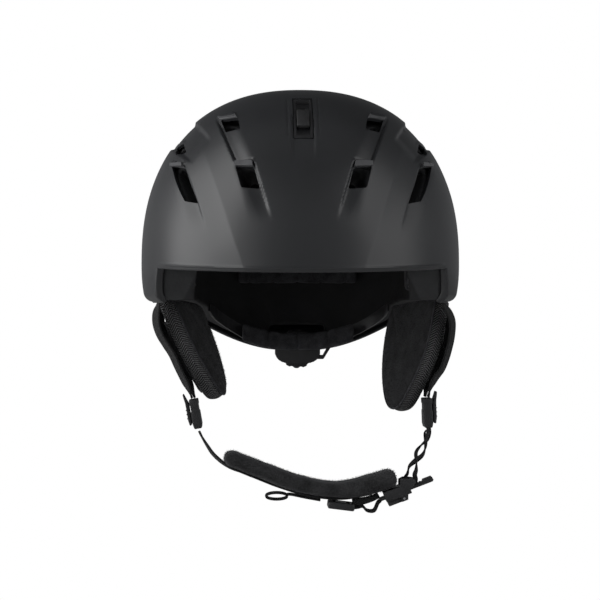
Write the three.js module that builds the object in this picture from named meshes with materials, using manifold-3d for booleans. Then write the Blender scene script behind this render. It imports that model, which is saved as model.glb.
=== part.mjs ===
// Ski helmet: hard shell over a foam liner, with a sliding vent shutter, a dial fit system, soft pads,
// ear pads, a chin strap with a padded sleeve and a ratchet buckle, and a goggle clip at the back.
// Millimetres, +Z up. The face side looks along -Y and +X is at the viewer's right when facing it.
// The origin is the middle of the head opening, level with the brow line.
import * as THREE from "three";
import { mergeVertices } from "three/addons/utils/BufferGeometryUtils.js";
import { RoundedBoxGeometry } from "three/addons/geometries/RoundedBoxGeometry.js";
import Module from "manifold-3d";

const wasm = await Module();
wasm.setup();

// ---------- driving dimensions ----------
const GAP = 0.3; // between pieces that touch
const MIRROR = [["left", -1], ["right", 1]];

// Half-axes of the outer dome, a superellipsoid: sides, front, rear, top, and the tuck below the brow.
const DOME = { side: 114, front: 136, rear: 142, top: 125.2, low: 90.7 };
const PLAN_POWER = 2.2;
const RISE_POWER = 2.33;
const SHELL_WALL = 2.4;
const LINER_OUTER = SHELL_WALL + GAP + 0.3;
// Half-axes of the cavity in the foam.
const CAVITY = { side: 88, front: 106, rear: 102, top: 97, low: 110 };
const PAD_GAP = 0.9;
const PAD_THICKNESS = 7;

// Lower edge: straight over the ears, swept down to the nape.
const SIDE_EDGE_Z = -28;
const NAPE_EDGE_Z = -63;
const SWEEP_START = 122; // degrees round from the front
const SWEEP_END = 174;
// Face opening, as seen from the side.
const BROW_CORNER = { y: -71, z: -2.6 };
const BROW_FRONT = { y: -200, z: -9.4 };
const JAW_FRONT_Y = -61;
const EDGE_ROUND = 5;

// Vents, as corner points (x, z) of the right-hand opening seen from the front.
const VENTS = {
  inner_upper: [[58, 104], [46, 103.6], [45, 90.5], [56.5, 91]],
  inner_lower: [[46, 69], [34, 68.6], [30, 50], [40, 50]],
  outer_upper: [[92.5, 84], [85.5, 88], [82.5, 78], [90, 73]],
  outer_lower: [[91.5, 69], [82.5, 67.5], [73.5, 41.5], [81.5, 43]],
};
const REAR_VENTS = {
  rear_upper: [[60, 84], [40, 88], [38, 79], [57, 75]],
  rear_lower: [[66, 46], [40, 50], [38, 41], [64, 37]],
};
const VENT_DEPTH = 52;

// Vent slider: everything in it turns about one axis along X, so it slides along the dome's own curve.
const SLIDE_AXIS = { y: -28.24, z: 14.74 };
const SLIDE_RADIUS = 106.7;
const TRACK = { from: 41, to: 70, width: 13.6, wall: 1.7, depth: 5 }; // degrees above horizontal
const BUTTON = { from: 47.5, to: 58, travel: 7 };
const STEM_WIDTH = 3.2;
const SHUTTER = { from: 46, to: 59.5, halfWidth: 60, drop: 7.6, thickness: 1.3 };
const SHUTTER_ROOM = 9; // degrees of free room past each end of the shutter

// Fit dial at the nape: the pinion drives the left rack above it and the right rack below it.
const DIAL = { z: -62, radius: 15, front: 88, thickness: 9, grips: 14 };
const PINION = { teeth: 9, root: 3.2, tip: 4.1 };
const RACK_OFFSET = 4.7;
const RACK_HEIGHT = 3.2;
const BELT = { thickness: 1.6, height: 9, y: 83.5 };
const HOUSING = { halfWidth: 17, low: 11, high: 12, front: 80, back: 87.2 };

// Middle line of the nape pad's right half, from the centre outwards.
const NAPE_PAD = { thickness: 5, height: 15,
  line: [[0, 76.8, -56.3], [15, 76.2, -56], [29, 73.2, -53.2], [42.5, 65.8, -48.8]] };

// Ear pads hang from the liner's lower face.
const EAR_HINGE_Z = -30;
const EAR_FOLD = 13;
const EAR = {
  left: { x: -86.3, y: 4.5, tilt: 22.5, yaw: 10.5, rise: 3 },
  right: { x: 86.5, y: 4.5, tilt: 11.5, yaw: 21, rise: -2.5 },
};
const EAR_THICKNESS = 15;

// Chin strap. The lower loop swings about a line along X through both strap dividers.
const STRAP = { width: 16, thickness: 1.6, topZ: -9 };
const STRAP_Y = -12; // middle of the loop, front to back
const ANCHOR_Y = { front: -40, rear: 40 };
const SWING_Z = -127;
const DIVIDER = { width: 6.6, depth: 24, height: 21, lever: 2.5 };
// Each side's front and rear webbing, from the anchor in the liner down to the divider, as (x, z).
const WEBBING_LINE = {
  left: [[-100.4, -9], [-100.6, -28], [-102.2, -34], [-102.2, -42], [-99.6, -50], [-95.4, -57], [-91, -64],
    [-87.4, -72], [-83.6, -80], [-79.6, -88], [-76.6, -95.5]],
  right: [[100.6, -9], [100.6, -28.4], [104, -33.4], [106.8, -40], [106.8, -50], [105, -60], [102.8, -68],
    [100, -75], [95.8, -81], [92.6, -87], [90.6, -94.8]],
};
// The top of each divider as (x, z), and how far it leans in towards the chin, in degrees.
const DIVIDER_TOP = { left: [-76.6, -96.2], right: [90.6, -95.5] };
const DIVIDER_LEAN = { left: 10, right: 2 };
// The buckle's own frame: origin on the tongue, turned so that the tongue rises to the right.
const BUCKLE = { x: 69, z: -163.7, angle: 21 };

const COLOURS = {
  shell: [0x1b1c1e, 0.42], foam: [0x2b2c2e, 0.85], plastic: [0x151517, 0.5], cloth: [0x18181a, 0.95],
  webbing: [0x141416, 0.9], rubber: [0x1a1a1c, 0.75], metal: [0x8c8f93, 0.35],
};

// ---------- helpers ----------
const group = new THREE.Group();
const rad = THREE.MathUtils.degToRad;
const frontToBack = new THREE.Vector3(0, 1, 0);
const upwards = new THREE.Vector3(0, 0, 1);

function material(kind) {
  const [color, roughness] = COLOURS[kind];
  return new THREE.MeshStandardMaterial({ color, roughness, metalness: kind === "metal" ? 0.9 : 0 });
}

function solidOf(geometry) {
  const g = (geometry.index ? geometry.toNonIndexed() : geometry).clone();
  g.deleteAttribute("normal");
  g.deleteAttribute("uv");
  const merged = mergeVertices(g, 1e-4);
  return new wasm.Manifold(new wasm.Mesh({
    numProp: 3,
    vertProperties: merged.attributes.position.array,
    triVerts: new Uint32Array(merged.index.array),
  }));
}

function geometryOf(solid) {
  const mesh = solid.getMesh();
  const points = new Float32Array(mesh.numVert * 3);
  for (let i = 0; i < mesh.numVert; i++) {
    points.set(mesh.vertProperties.subarray(i * mesh.numProp, i * mesh.numProp + 3), i * 3);
  }
  const g = new THREE.BufferGeometry();
  g.setAttribute("position", new THREE.BufferAttribute(points, 3));
  g.setIndex(new THREE.BufferAttribute(mesh.triVerts, 1));
  g.computeVertexNormals();
  return g;
}

function add(name, kind, shape) {
  const geometry = shape.isBufferGeometry ? shape : geometryOf(shape);
  const mesh = new THREE.Mesh(geometry, material(kind));
  mesh.name = name;
  group.add(mesh);
  return mesh;
}

// A box from one corner to the other.
function block(low, high) {
  const size = low.map((v, i) => high[i] - v);
  const g = new THREE.BoxGeometry(...size);
  return g.translate(...low.map((v, i) => v + size[i] / 2));
}

function roundedBlock(low, high, radius) {
  const size = low.map((v, i) => high[i] - v);
  const g = new RoundedBoxGeometry(...size, 1, radius);
  return g.translate(...low.map((v, i) => v + size[i] / 2));
}

// Extrudes a shape drawn in (y, z) from x = from to x = to.
function extrudeAlongX(shape, from, to, curveSegments = 6) {
  const g = new THREE.ExtrudeGeometry(shape, { depth: to - from, bevelEnabled: false, curveSegments });
  const turn = new THREE.Matrix4().makeBasis(
    new THREE.Vector3(0, 1, 0), new THREE.Vector3(0, 0, 1), new THREE.Vector3(1, 0, 0));
  return g.applyMatrix4(turn).translate(from, 0, 0);
}

// A cylinder along Y from y = from to y = to.
function cylinderAlongY(radius, from, to, segments = 24) {
  const g = new THREE.CylinderGeometry(radius, radius, to - from, segments);
  return g.translate(0, (from + to) / 2, 0);
}

// A curved bar of the ring about the slide axis, between two radii and two angles above horizontal.
function arcBar(inner, outer, from, to, x0, x1) {
  const s = new THREE.Shape();
  const at = (r, degrees) =>
    [SLIDE_AXIS.y - r * Math.cos(rad(degrees)), SLIDE_AXIS.z + r * Math.sin(rad(degrees))];
  s.moveTo(...at(outer, from));
  s.absarc(SLIDE_AXIS.y, SLIDE_AXIS.z, outer, Math.PI - rad(from), Math.PI - rad(to), true);
  s.lineTo(...at(inner, to));
  s.absarc(SLIDE_AXIS.y, SLIDE_AXIS.z, inner, Math.PI - rad(to), Math.PI - rad(from), false);
  return extrudeAlongX(s, x0, x1, 6);
}

// A flat band that follows a path, with its width along a fixed direction.
// thickness and width may be functions of the distance along it, from 0 to 1.
function band(points, thickness, width, across = frontToBack, steps = 14) {
  const value = (v, t) => (typeof v === "function" ? v(t) : v);
  const curve = new THREE.CatmullRomCurve3(
    points.map((p) => new THREE.Vector3(...p)), false, "centripetal");
  const g = new THREE.BoxGeometry(1, 1, 1, 1, 1, steps);
  const p = g.attributes.position;
  for (let i = 0; i < p.count; i++) {
    const t = p.getZ(i) + 0.5;
    const tangent = curve.getTangentAt(t);
    const normal = new THREE.Vector3().crossVectors(across, tangent).normalize();
    const place = curve.getPointAt(t)
      .addScaledVector(normal, p.getX(i) * value(thickness, t))
      .addScaledVector(across, p.getY(i) * value(width, t));
    p.setXYZ(i, place.x, place.y, place.z);
  }
  return g;
}

// ---------- the dome ----------
function inset(size, t) {
  return Object.fromEntries(Object.entries(size).map(([key, value]) => [key, value - t]));
}

function domeLevel(size, x, y, z) {
  const plan = Math.abs(x / size.side) ** PLAN_POWER
    + Math.abs(y / (y < 0 ? size.front : size.rear)) ** PLAN_POWER;
  return plan ** (RISE_POWER / PLAN_POWER) + Math.abs(z / (z > 0 ? size.top : size.low)) ** RISE_POWER;
}

function domeSolid(size, columns = 36, rows = 20) {
  const g = new THREE.SphereGeometry(1, columns, rows).rotateX(Math.PI / 2);
  const p = g.attributes.position;
  for (let i = 0; i < p.count; i++) {
    const d = new THREE.Vector3().fromBufferAttribute(p, i).normalize();
    d.multiplyScalar(domeLevel(size, d.x, d.y, d.z) ** (-1 / RISE_POWER));
    p.setXYZ(i, d.x, d.y, d.z);
  }
  return solidOf(g);
}

// The y of the dome's face or back over a point (x, z).
function domeY(size, x, z, side) {
  const plan = (1 - Math.abs(z / (z > 0 ? size.top : size.low)) ** RISE_POWER) ** (PLAN_POWER / RISE_POWER);
  const reach = Math.max(0, plan - Math.abs(x / size.side) ** PLAN_POWER) ** (1 / PLAN_POWER);
  return side * reach * (side < 0 ? size.front : size.rear);
}

function domeNormal(size, p) {
  const step = 0.01;
  const slope = (dx, dy, dz) =>
    domeLevel(size, p.x + dx, p.y + dy, p.z + dz) - domeLevel(size, p.x - dx, p.y - dy, p.z - dz);
  return new THREE.Vector3(slope(step, 0, 0), slope(0, step, 0), slope(0, 0, step)).normalize();
}

// Distance from the slide axis to the dome, over x.
function reachFromSlideAxis(size, x, degrees) {
  let low = 0;
  let high = 2 * SLIDE_RADIUS;
  for (let i = 0; i < 40; i++) {
    const r = (low + high) / 2;
    const y = SLIDE_AXIS.y - r * Math.cos(rad(degrees));
    const z = SLIDE_AXIS.z + r * Math.sin(rad(degrees));
    if (domeLevel(size, x, y, z) < 1) low = r;
    else high = r;
  }
  return low;
}

// A straight-sided plug through the dome's wall, from corners (x, z) seen from the front or the back.
function ventPlug(corners, side, mirror) {
  const points = corners.map(([x, z]) => new THREE.Vector3(mirror * x, domeY(DOME, x, z, side), z));
  const middle = points.reduce((a, b) => a.clone().add(b)).multiplyScalar(1 / points.length);
  const normal = domeNormal(DOME, middle);
  const up = new THREE.Vector3(0, 0, 1).addScaledVector(normal, -normal.z).normalize();
  const across = new THREE.Vector3().crossVectors(up, normal);
  const flat = points.map((p) => {
    const d = p.clone().sub(middle);
    return new THREE.Vector2(d.dot(across), d.dot(up));
  });
  if (THREE.ShapeUtils.isClockWise(flat)) flat.reverse();
  const g = new THREE.ExtrudeGeometry(new THREE.Shape(flat),
    { depth: VENT_DEPTH + 12, bevelEnabled: false });
  g.translate(0, 0, -VENT_DEPTH);
  const place = new THREE.Matrix4().makeBasis(across, up, normal).setPosition(middle);
  return solidOf(g.applyMatrix4(place));
}

// Everything below the lower edge: flat over the ears and swept down towards the nape.
function belowEdge(lift) {
  const reach = 220;
  const edgeRadius = 110;
  const g = new THREE.CylinderGeometry(reach, reach, 1, 72, 1).rotateX(Math.PI / 2);
  const p = g.attributes.position;
  for (let i = 0; i < p.count; i++) {
    const x = p.getX(i);
    const y = p.getY(i);
    const angle = THREE.MathUtils.radToDeg(Math.atan2(Math.abs(x), -y));
    const sweep = THREE.MathUtils.smoothstep(angle, SWEEP_START, SWEEP_END);
    const drop = (NAPE_EDGE_Z - SIDE_EDGE_Z) * sweep * (Math.hypot(x, y) > 1 ? reach / edgeRadius : 0);
    p.setZ(i, p.getZ(i) > 0 ? SIDE_EDGE_Z + lift + drop : -400);
  }
  return solidOf(g);
}

// Everything in front of and below the face opening's edge.
function faceOpening(back, lift) {
  const s = new THREE.Shape();
  s.moveTo(BROW_FRONT.y, BROW_FRONT.z + lift);
  s.lineTo(BROW_CORNER.y + back - EDGE_ROUND, BROW_CORNER.z + lift - 0.3);
  s.quadraticCurveTo(BROW_CORNER.y + back, BROW_CORNER.z + lift,
    BROW_CORNER.y + back + 1, BROW_CORNER.z + lift - EDGE_ROUND);
  s.lineTo(JAW_FRONT_Y + back, SIDE_EDGE_Z - 2);
  s.lineTo(JAW_FRONT_Y + back, -200);
  s.lineTo(BROW_FRONT.y, -200);
  return solidOf(extrudeAlongX(s, -200, 200));
}

const ventPlugs = MIRROR.flatMap(([, m]) => [
  ...Object.values(VENTS).map((c) => ventPlug(c, -1, m)),
  ...Object.values(REAR_VENTS).map((c) => ventPlug(c, 1, m)),
]);
const subtractAll = (solid, cutters) => cutters.reduce((s, c) => s.subtract(c), solid);

// ---------- shell and liner ----------
const trackHalf = TRACK.width / 2;
const trackHole = solidOf(arcBar(SLIDE_RADIUS - 30, SLIDE_RADIUS + 20, TRACK.from, TRACK.to,
  -trackHalf, trackHalf));
const shell = subtractAll(
  domeSolid(DOME).subtract(domeSolid(inset(DOME, SHELL_WALL))),
  [belowEdge(0), faceOpening(0, 0), ...ventPlugs, trackHole]);
add("outer_shell", "shell", shell);

// The shutter is a barrel-shaped band about the slide axis, so it slides along itself.
const wedge = (from, to, half) => solidOf(arcBar(20, SLIDE_RADIUS + 30, from, to, -half, half));
function barrel(drop, thickness, halfWidth) {
  const steps = 8;
  const profile = [];
  const at = (x, extra) => {
    const reach = reachFromSlideAxis(DOME, x, (SHUTTER.from + SHUTTER.to) / 2);
    return new THREE.Vector2(reach - drop - extra, x);
  };
  for (let i = 0; i <= steps; i++) profile.push(at(-halfWidth + (2 * halfWidth * i) / steps, 0));
  for (let i = steps; i >= 0; i--) profile.push(at(-halfWidth + (2 * halfWidth * i) / steps, thickness));
  profile.push(profile[0].clone());
  const g = new THREE.LatheGeometry(profile, 72);
  return solidOf(g.rotateZ(-Math.PI / 2).translate(0, SLIDE_AXIS.y, SLIDE_AXIS.z));
}
const shutterRing = barrel(SHUTTER.drop, SHUTTER.thickness, SHUTTER.halfWidth);
const shutterPocket = barrel(-8, SHUTTER.drop + SHUTTER.thickness + 8 + 1.2, SHUTTER.halfWidth + 2)
  .intersect(wedge(SHUTTER.from - SHUTTER_ROOM, SHUTTER.to + SHUTTER_ROOM, SHUTTER.halfWidth + 2));
add("vent_shutter", "plastic", shutterRing.intersect(wedge(SHUTTER.from, SHUTTER.to, SHUTTER.halfWidth)));

const trackPocket = solidOf(arcBar(SLIDE_RADIUS - 8, SLIDE_RADIUS + 20, TRACK.from - 1, TRACK.to + 1,
  -trackHalf - 0.5, trackHalf + 0.5));
const dialNotch = solidOf(block([-21, 60, -90], [21, 160, -44]));
const anchorPockets = MIRROR.flatMap(([, m]) => Object.values(ANCHOR_Y).map((y) => {
  const x = [m * 95, m * 116].sort((a, b) => a - b);
  return solidOf(block([x[0], y - 10, -40], [x[1], y + 10, -5]));
}));
const liner = subtractAll(
  domeSolid(inset(DOME, LINER_OUTER)).subtract(domeSolid(CAVITY)),
  [belowEdge(1.2), faceOpening(2.5, 3), ...ventPlugs, shutterPocket, trackPocket, dialNotch,
    ...anchorPockets]);
add("eps_liner", "foam", liner);

// ---------- vent slider ----------
const floorOuter = SLIDE_RADIUS - 3.4;
const floorInner = SLIDE_RADIUS - TRACK.depth;
const trackBody = solidOf(arcBar(floorInner, SLIDE_RADIUS - 0.6, TRACK.from + 0.25, TRACK.to - 0.25,
  -trackHalf + GAP, trackHalf - GAP));
const trackWell = solidOf(arcBar(floorOuter, SLIDE_RADIUS + 5, TRACK.from + 1.6, TRACK.to - 1.6,
  -trackHalf + TRACK.wall + GAP, trackHalf - TRACK.wall - GAP));
const trackSlot = solidOf(arcBar(SLIDE_RADIUS - 20, SLIDE_RADIUS,
  BUTTON.from + 1.5, BUTTON.to + BUTTON.travel - 1.5, -STEM_WIDTH / 2 - 0.4, STEM_WIDTH / 2 + 0.4));
add("vent_slider_track", "plastic", trackBody.subtract(trackWell).subtract(trackSlot));

const buttonHalf = trackHalf - TRACK.wall - GAP - 0.5;
const button = solidOf(arcBar(floorOuter + 0.4, SLIDE_RADIUS + 0.9, BUTTON.from, BUTTON.to,
  -buttonHalf, buttonHalf));
const stem = solidOf(arcBar(SLIDE_RADIUS - SHUTTER.drop + GAP, floorOuter + 1,
  BUTTON.from + 2.5, BUTTON.to - 2.5, -STEM_WIDTH / 2, STEM_WIDTH / 2));
add("vent_slider_button", "rubber", button.add(stem));

// ---------- inner pads ----------
function padLayer(columns = 32, rows = 16) {
  return domeSolid(inset(CAVITY, PAD_GAP), columns, rows)
    .subtract(domeSolid(inset(CAVITY, PAD_GAP + PAD_THICKNESS), columns, rows));
}
const padArea = (low, high) => padLayer().intersect(solidOf(block(low, high)));
add("brow_pad", "cloth", padArea([-62, -120, 1], [62, -40, 24]));
add("crown_pad", "cloth", padLayer().intersect(solidOf(
  new THREE.CylinderGeometry(44, 44, 80, 28).rotateX(Math.PI / 2).translate(0, 0, 90))));
add("rear_pad", "cloth", padArea([-46, 40, -14], [46, 120, 40]));
for (const [side, m] of MIRROR) {
  const x = [m * 50, m * 100].sort((a, b) => a - b);
  add(`side_pad_${side}`, "cloth", padArea([x[0], -34, -20], [x[1], 34, 44]));
}

// ---------- fit system ----------
const dialFrame = (g) => g.translate(0, 0, DIAL.z);
const housingShape = new THREE.Shape();
housingShape.moveTo(-HOUSING.halfWidth, HOUSING.high);
housingShape.lineTo(-HOUSING.halfWidth, -4);
housingShape.quadraticCurveTo(-HOUSING.halfWidth + 2, -HOUSING.low, -6, -HOUSING.low);
housingShape.lineTo(6, -HOUSING.low);
housingShape.quadraticCurveTo(HOUSING.halfWidth - 2, -HOUSING.low, HOUSING.halfWidth, -4);
housingShape.lineTo(HOUSING.halfWidth, HOUSING.high);
const facingBack = new THREE.Matrix4().makeBasis(
  new THREE.Vector3(-1, 0, 0), new THREE.Vector3(0, 0, 1), new THREE.Vector3(0, 1, 0));
const housingBody = solidOf(dialFrame(new THREE.ExtrudeGeometry(housingShape,
  { depth: HOUSING.back - HOUSING.front, bevelEnabled: false, curveSegments: 5 })
  .applyMatrix4(facingBack).translate(0, HOUSING.front, 0)));
const beltSlot = solidOf(dialFrame(block([-30, BELT.y - 1.4, -8.6], [30, BELT.y + 1.4, 9.6])));
const shaftHole = solidOf(dialFrame(cylinderAlongY(2.4, BELT.y, 100, 20)));
add("dial_housing", "plastic", housingBody.subtract(beltSlot).subtract(shaftHole));

const toothed = (count, root, tip, depth) => {
  const s = new THREE.Shape();
  for (let i = 0; i < count; i++) {
    [[0, root], [0.25, root], [0.4, tip], [0.85, tip]].forEach(([part, r], k) => {
      const a = (2 * Math.PI * (i + part)) / count;
      s[i + k === 0 ? "moveTo" : "lineTo"](r * Math.cos(a), r * Math.sin(a));
    });
  }
  return new THREE.ExtrudeGeometry(s, { depth, bevelEnabled: false }).applyMatrix4(facingBack);
};
const pinionGear = solidOf(dialFrame(
  toothed(PINION.teeth, PINION.root, PINION.tip, 2.2).translate(0, BELT.y - 1.1, 0)));
const pinionShaft = solidOf(dialFrame(cylinderAlongY(2, BELT.y, DIAL.front - GAP, 20)));
add("dial_pinion", "plastic", pinionGear.add(pinionShaft));
add("dial_knob", "rubber", solidOf(dialFrame(
  toothed(DIAL.grips, DIAL.radius - 1, DIAL.radius, DIAL.thickness).translate(0, DIAL.front, 0))));

for (const [side, m] of MIRROR) {
  const rackSide = m < 0 ? 1 : -1;
  const rackLow = rackSide > 0 ? RACK_OFFSET : -RACK_OFFSET - RACK_HEIGHT;
  const rack = block([-15, BELT.y - BELT.thickness / 2, rackLow],
    [15, BELT.y + BELT.thickness / 2, rackLow + RACK_HEIGHT]).translate(m * 5, 0, DIAL.z);
  const startZ = DIAL.z + rackLow + RACK_HEIGHT / 2;
  const arm = band([[m * 19, BELT.y, startZ], [m * 24, BELT.y, startZ + 0.4], [m * 36, 79.5, -52],
    [m * 50, 69, -44], [m * 60, 55, -37], [m * 66, 38, -31]], BELT.thickness,
    (t) => RACK_HEIGHT + (BELT.height - RACK_HEIGHT) * Math.min(1, t * 4) - Math.max(0, t - 0.9) * 40,
    upwards, 12);
  add(`fit_belt_${side}`, "plastic", solidOf(rack).add(solidOf(arm)));
}
const napeLine = [...NAPE_PAD.line.slice(1).reverse().map(([x, y, z]) => [-x, y, z]), ...NAPE_PAD.line];
add("nape_pad", "cloth", band(napeLine, (t) => NAPE_PAD.thickness - 2 * Math.abs(2 * t - 1) ** 6,
  NAPE_PAD.height, upwards, 14));

// ---------- goggle clip ----------
const CLIP = { halfWidth: 24, low: -26, high: 10, face: 148, post: 1, eye: 2.3, tongue: 7.5, channel: 9 };
const clipPocket = solidOf(block([-CLIP.channel, CLIP.face - 3.4, CLIP.high - 7],
  [CLIP.channel, CLIP.face + 5, CLIP.high + 5]));
// The strap lies in a shallow channel between two flat wings.
const clipChannel = solidOf(block([-CLIP.channel, CLIP.face - 0.5, CLIP.low - 5],
  [CLIP.channel, CLIP.face + 5, CLIP.high + 5]));
add("goggle_clip_base", "plastic", solidOf(block(
  [-CLIP.halfWidth, 120, CLIP.low], [CLIP.halfWidth, CLIP.face, CLIP.high]))
  .subtract(domeSolid(inset(DOME, -0.6))).subtract(clipPocket).subtract(clipChannel));
const clipPin = { y: CLIP.face - 0.8, z: CLIP.high - 3 };
const alongPin = (radius, length, segments) =>
  new THREE.CylinderGeometry(radius, radius, length, segments).rotateZ(Math.PI / 2)
    .translate(0, clipPin.y, clipPin.z);
add("goggle_clip_pin", "metal", alongPin(CLIP.post, 17.2, 12));
const strapTongue = solidOf(roundedBlock(
  [-CLIP.tongue, CLIP.face, CLIP.low - 6], [CLIP.tongue, CLIP.face + 2.6, clipPin.z], 1));
add("goggle_clip_strap", "rubber", solidOf(alongPin(CLIP.eye, 2 * CLIP.tongue, 20)).add(strapTongue)
  .subtract(solidOf(alongPin(CLIP.post + GAP, 30, 16))));

// ---------- ear pads ----------
// The outline's upper end is carried up past the hinge line and trimmed under the liner.
function earOutline(margin, top) {
  const s = new THREE.Shape();
  s.moveTo(-37 + margin, top);
  s.lineTo(36 - margin, top);
  if (top > -margin) s.lineTo(36 - margin, -margin);
  s.bezierCurveTo(40 - margin, -22, 35 - margin, -48, 16 - margin / 2, -65.5 + margin);
  s.bezierCurveTo(7, -74.5 + margin, -10, -74.5 + margin, -17 + margin / 2, -62 + margin);
  s.bezierCurveTo(-30 + margin, -44, -42 + margin, -26, -37 + margin, -margin);
  return s;
}
// Placed with the hinge line near its top: m = -1 leans right and m = 1 leans left as it hangs.
function placeEarPiece(g, side, m) {
  const ear = EAR[side];
  return g.translate(0, 0, ear.rise).rotateZ(rad(m * ear.yaw)).rotateY(rad(m * ear.tilt))
    .translate(ear.x, ear.y, EAR_HINGE_Z);
}
for (const [side, m] of MIRROR) {
  const bevel = 3.5;
  const soft = new THREE.ExtrudeGeometry(earOutline(bevel, 10), {
    depth: EAR_THICKNESS - 2 * bevel, bevelThickness: bevel, bevelSize: bevel, bevelSegments: 2,
    curveSegments: 6 });
  soft.applyMatrix4(new THREE.Matrix4().makeBasis(
    new THREE.Vector3(0, 1, 0), new THREE.Vector3(0, 0, 1), new THREE.Vector3(1, 0, 0)));
  soft.translate(-EAR_THICKNESS / 2 + bevel, 0, -1);
  // The top is level on the outer side and falls away inwards, so that the pad can fold under the liner.
  const trimZ = EAR_HINGE_Z + 1.1;
  const level = block([EAR[side].x - 60, -60, trimZ], [EAR[side].x + 60, 60, trimZ + 50]);
  const falling = block([-60, -60, 0], [60, 60, 50]).rotateY(rad(-m * (EAR_FOLD + 1)))
    .translate(EAR[side].x, 0, trimZ);
  add(`ear_pad_${side}`, "cloth",
    subtractAll(solidOf(placeEarPiece(soft, side, m)), [solidOf(level), solidOf(falling)]));
  const plate = extrudeAlongX(earOutline(7, -7), 0, 1.6, 5).translate(
    m > 0 ? EAR_THICKNESS / 2 + GAP : -EAR_THICKNESS / 2 - GAP - 1.6, 0, -2);
  add(`ear_plate_${side}`, "plastic", placeEarPiece(plate, side, m));
}

// ---------- chin strap ----------
for (const [side, m] of MIRROR) {
  const line = WEBBING_LINE[side];
  const [topX, topZ] = line[0];
  const [endX, endZ] = line[line.length - 1];
  for (const [place, anchorY] of Object.entries(ANCHOR_Y)) {
    const endY = STRAP_Y + (place === "front" ? -3 : 6);
    const outward = place === "front" ? 0.9 : -0.9;
    const points = line.map(([x, z]) => {
      const t = Math.max(0, (z + 28) / (endZ + 28));
      return [x + m * outward * t, anchorY + (endY - anchorY) * t, z];
    });
    add(`${place}_webbing_${side}`, "webbing",
      band(points, 1.4, (t) => 16 - 4 * t, frontToBack, 16));
    const plateX = [topX - m * 1.1, topX - m * 3.6].sort((a, b) => a - b);
    add(`strap_anchor_${place}_${side}`, "metal",
      block([plateX[0], anchorY - 8, topZ - 9], [plateX[1], anchorY + 8, topZ + 1]));
  }
  const [dividerX, dividerZ] = DIVIDER_TOP[side];
  const lean = (g) => g.rotateY(rad(-DIVIDER_LEAN[side])).translate(dividerX, STRAP_Y, dividerZ);
  add(`divider_${side}`, "plastic", lean(roundedBlock(
    [-DIVIDER.width / 2, -DIVIDER.depth / 2, -DIVIDER.height],
    [DIVIDER.width / 2, DIVIDER.depth / 2, 0], 1.2)));
  const leverX = [m * (DIVIDER.width / 2 + 0.5), m * (DIVIDER.width / 2 + 3)].sort((a, b) => a - b);
  add(`divider_lever_${side}`, "plastic", lean(roundedBlock(
    [leverX[0], -9.5, -DIVIDER.height + 3], [leverX[1], 9.5, 3.5], 0.8)));
}
const sunk = STRAP.width / 2;
// Half-round upper end, so that the loop can swing under the divider.
const roundedTop = (length) => (t) => {
  const from = t * length;
  return from >= sunk ? STRAP.width : 2 * Math.sqrt(Math.max(0.4, sunk ** 2 - (sunk - from) ** 2));
};
const CHIN_PAD = { thickness: 11.5, width: 30 };
// The padded sleeve's middle line, as (x, z), and the same line moved out towards the throat side.
const PAD_LINE = [[-54.5, -136.7], [-40, -142.3], [-24.3, -148.4], [-5.2, -155.6], [18, -160.4],
  [36, -160.4], [54, -156.2], [66, -152.5]];
const padCurve = new THREE.CatmullRomCurve3(
  PAD_LINE.map(([x, z]) => new THREE.Vector3(x, STRAP_Y, z)), false, "centripetal");
function underPad(t, distance) {
  const tangent = padCurve.getTangentAt(t);
  const p = padCurve.getPointAt(t).addScaledVector(new THREE.Vector3(-tangent.z, 0, tangent.x), -distance);
  return p.toArray();
}
const endTaper = (t) => 1 - 0.25 * Math.abs(2 * t - 1) ** 8;
add("chin_pad", "cloth", band(PAD_LINE.map(([x, z]) => [x, STRAP_Y, z]),
  (t) => CHIN_PAD.thickness * endTaper(t), (t) => CHIN_PAD.width * endTaper(t), frontToBack, 16));
const webbingDrop = CHIN_PAD.thickness / 2 + STRAP.thickness / 2 + 0.5;
const tailDrop = webbingDrop + STRAP.thickness + 0.4;
add("chin_webbing_left", "webbing", band([[-72.6, STRAP_Y, SWING_Z + sunk],
  [-70.4, STRAP_Y, -123.4], [-67, STRAP_Y, -129], [-61.9, STRAP_Y, -136.2],
  ...[0.05, 0.2, 0.34, 0.48, 0.6, 0.72, 0.86].map((t) => underPad(t, webbingDrop))],
STRAP.thickness, roundedTop(155), frontToBack, 30));
const LOOP = { x: -17, z: -165.6, length: 8.4, height: 3.1, wall: 1.5, width: 12 };
const loopOutline = (grow) =>
  new THREE.EllipseCurve(0, 0, LOOP.length + grow, LOOP.height + grow).getPoints(20).slice(0, -1);
const loopRing = new THREE.Shape(loopOutline(0));
loopRing.holes.push(new THREE.Path(loopOutline(-LOOP.wall)));
const acrossY = new THREE.Matrix4().makeBasis(
  new THREE.Vector3(1, 0, 0), new THREE.Vector3(0, 0, 1), new THREE.Vector3(0, -1, 0));
const ring = new THREE.ExtrudeGeometry(loopRing, { depth: LOOP.width, bevelEnabled: false })
  .applyMatrix4(acrossY).translate(LOOP.x, STRAP_Y + LOOP.width / 2, LOOP.z);
const tail = band([[LOOP.x + LOOP.length - 0.8, STRAP_Y, LOOP.z - 0.3], underPad(0.42, tailDrop + 0.6),
  underPad(0.5, tailDrop), underPad(0.59, tailDrop)], STRAP.thickness, LOOP.width, frontToBack, 8);
add("pull_loop", "webbing", solidOf(ring).add(solidOf(tail)));
const ADJUSTER = { x: 29, z: -172.4, length: 19, depth: 23, height: 5.2, tilt: 7 };
const adjusterBody = solidOf(roundedBlock([-ADJUSTER.length / 2, -ADJUSTER.depth / 2, -ADJUSTER.height / 2],
  [ADJUSTER.length / 2, ADJUSTER.depth / 2, ADJUSTER.height / 2], 1));
const adjusterSlots = [-6.4, 3.6].map((x) => solidOf(block([x, -8.5, -5], [x + 2.6, 8.5, 5])));
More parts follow.
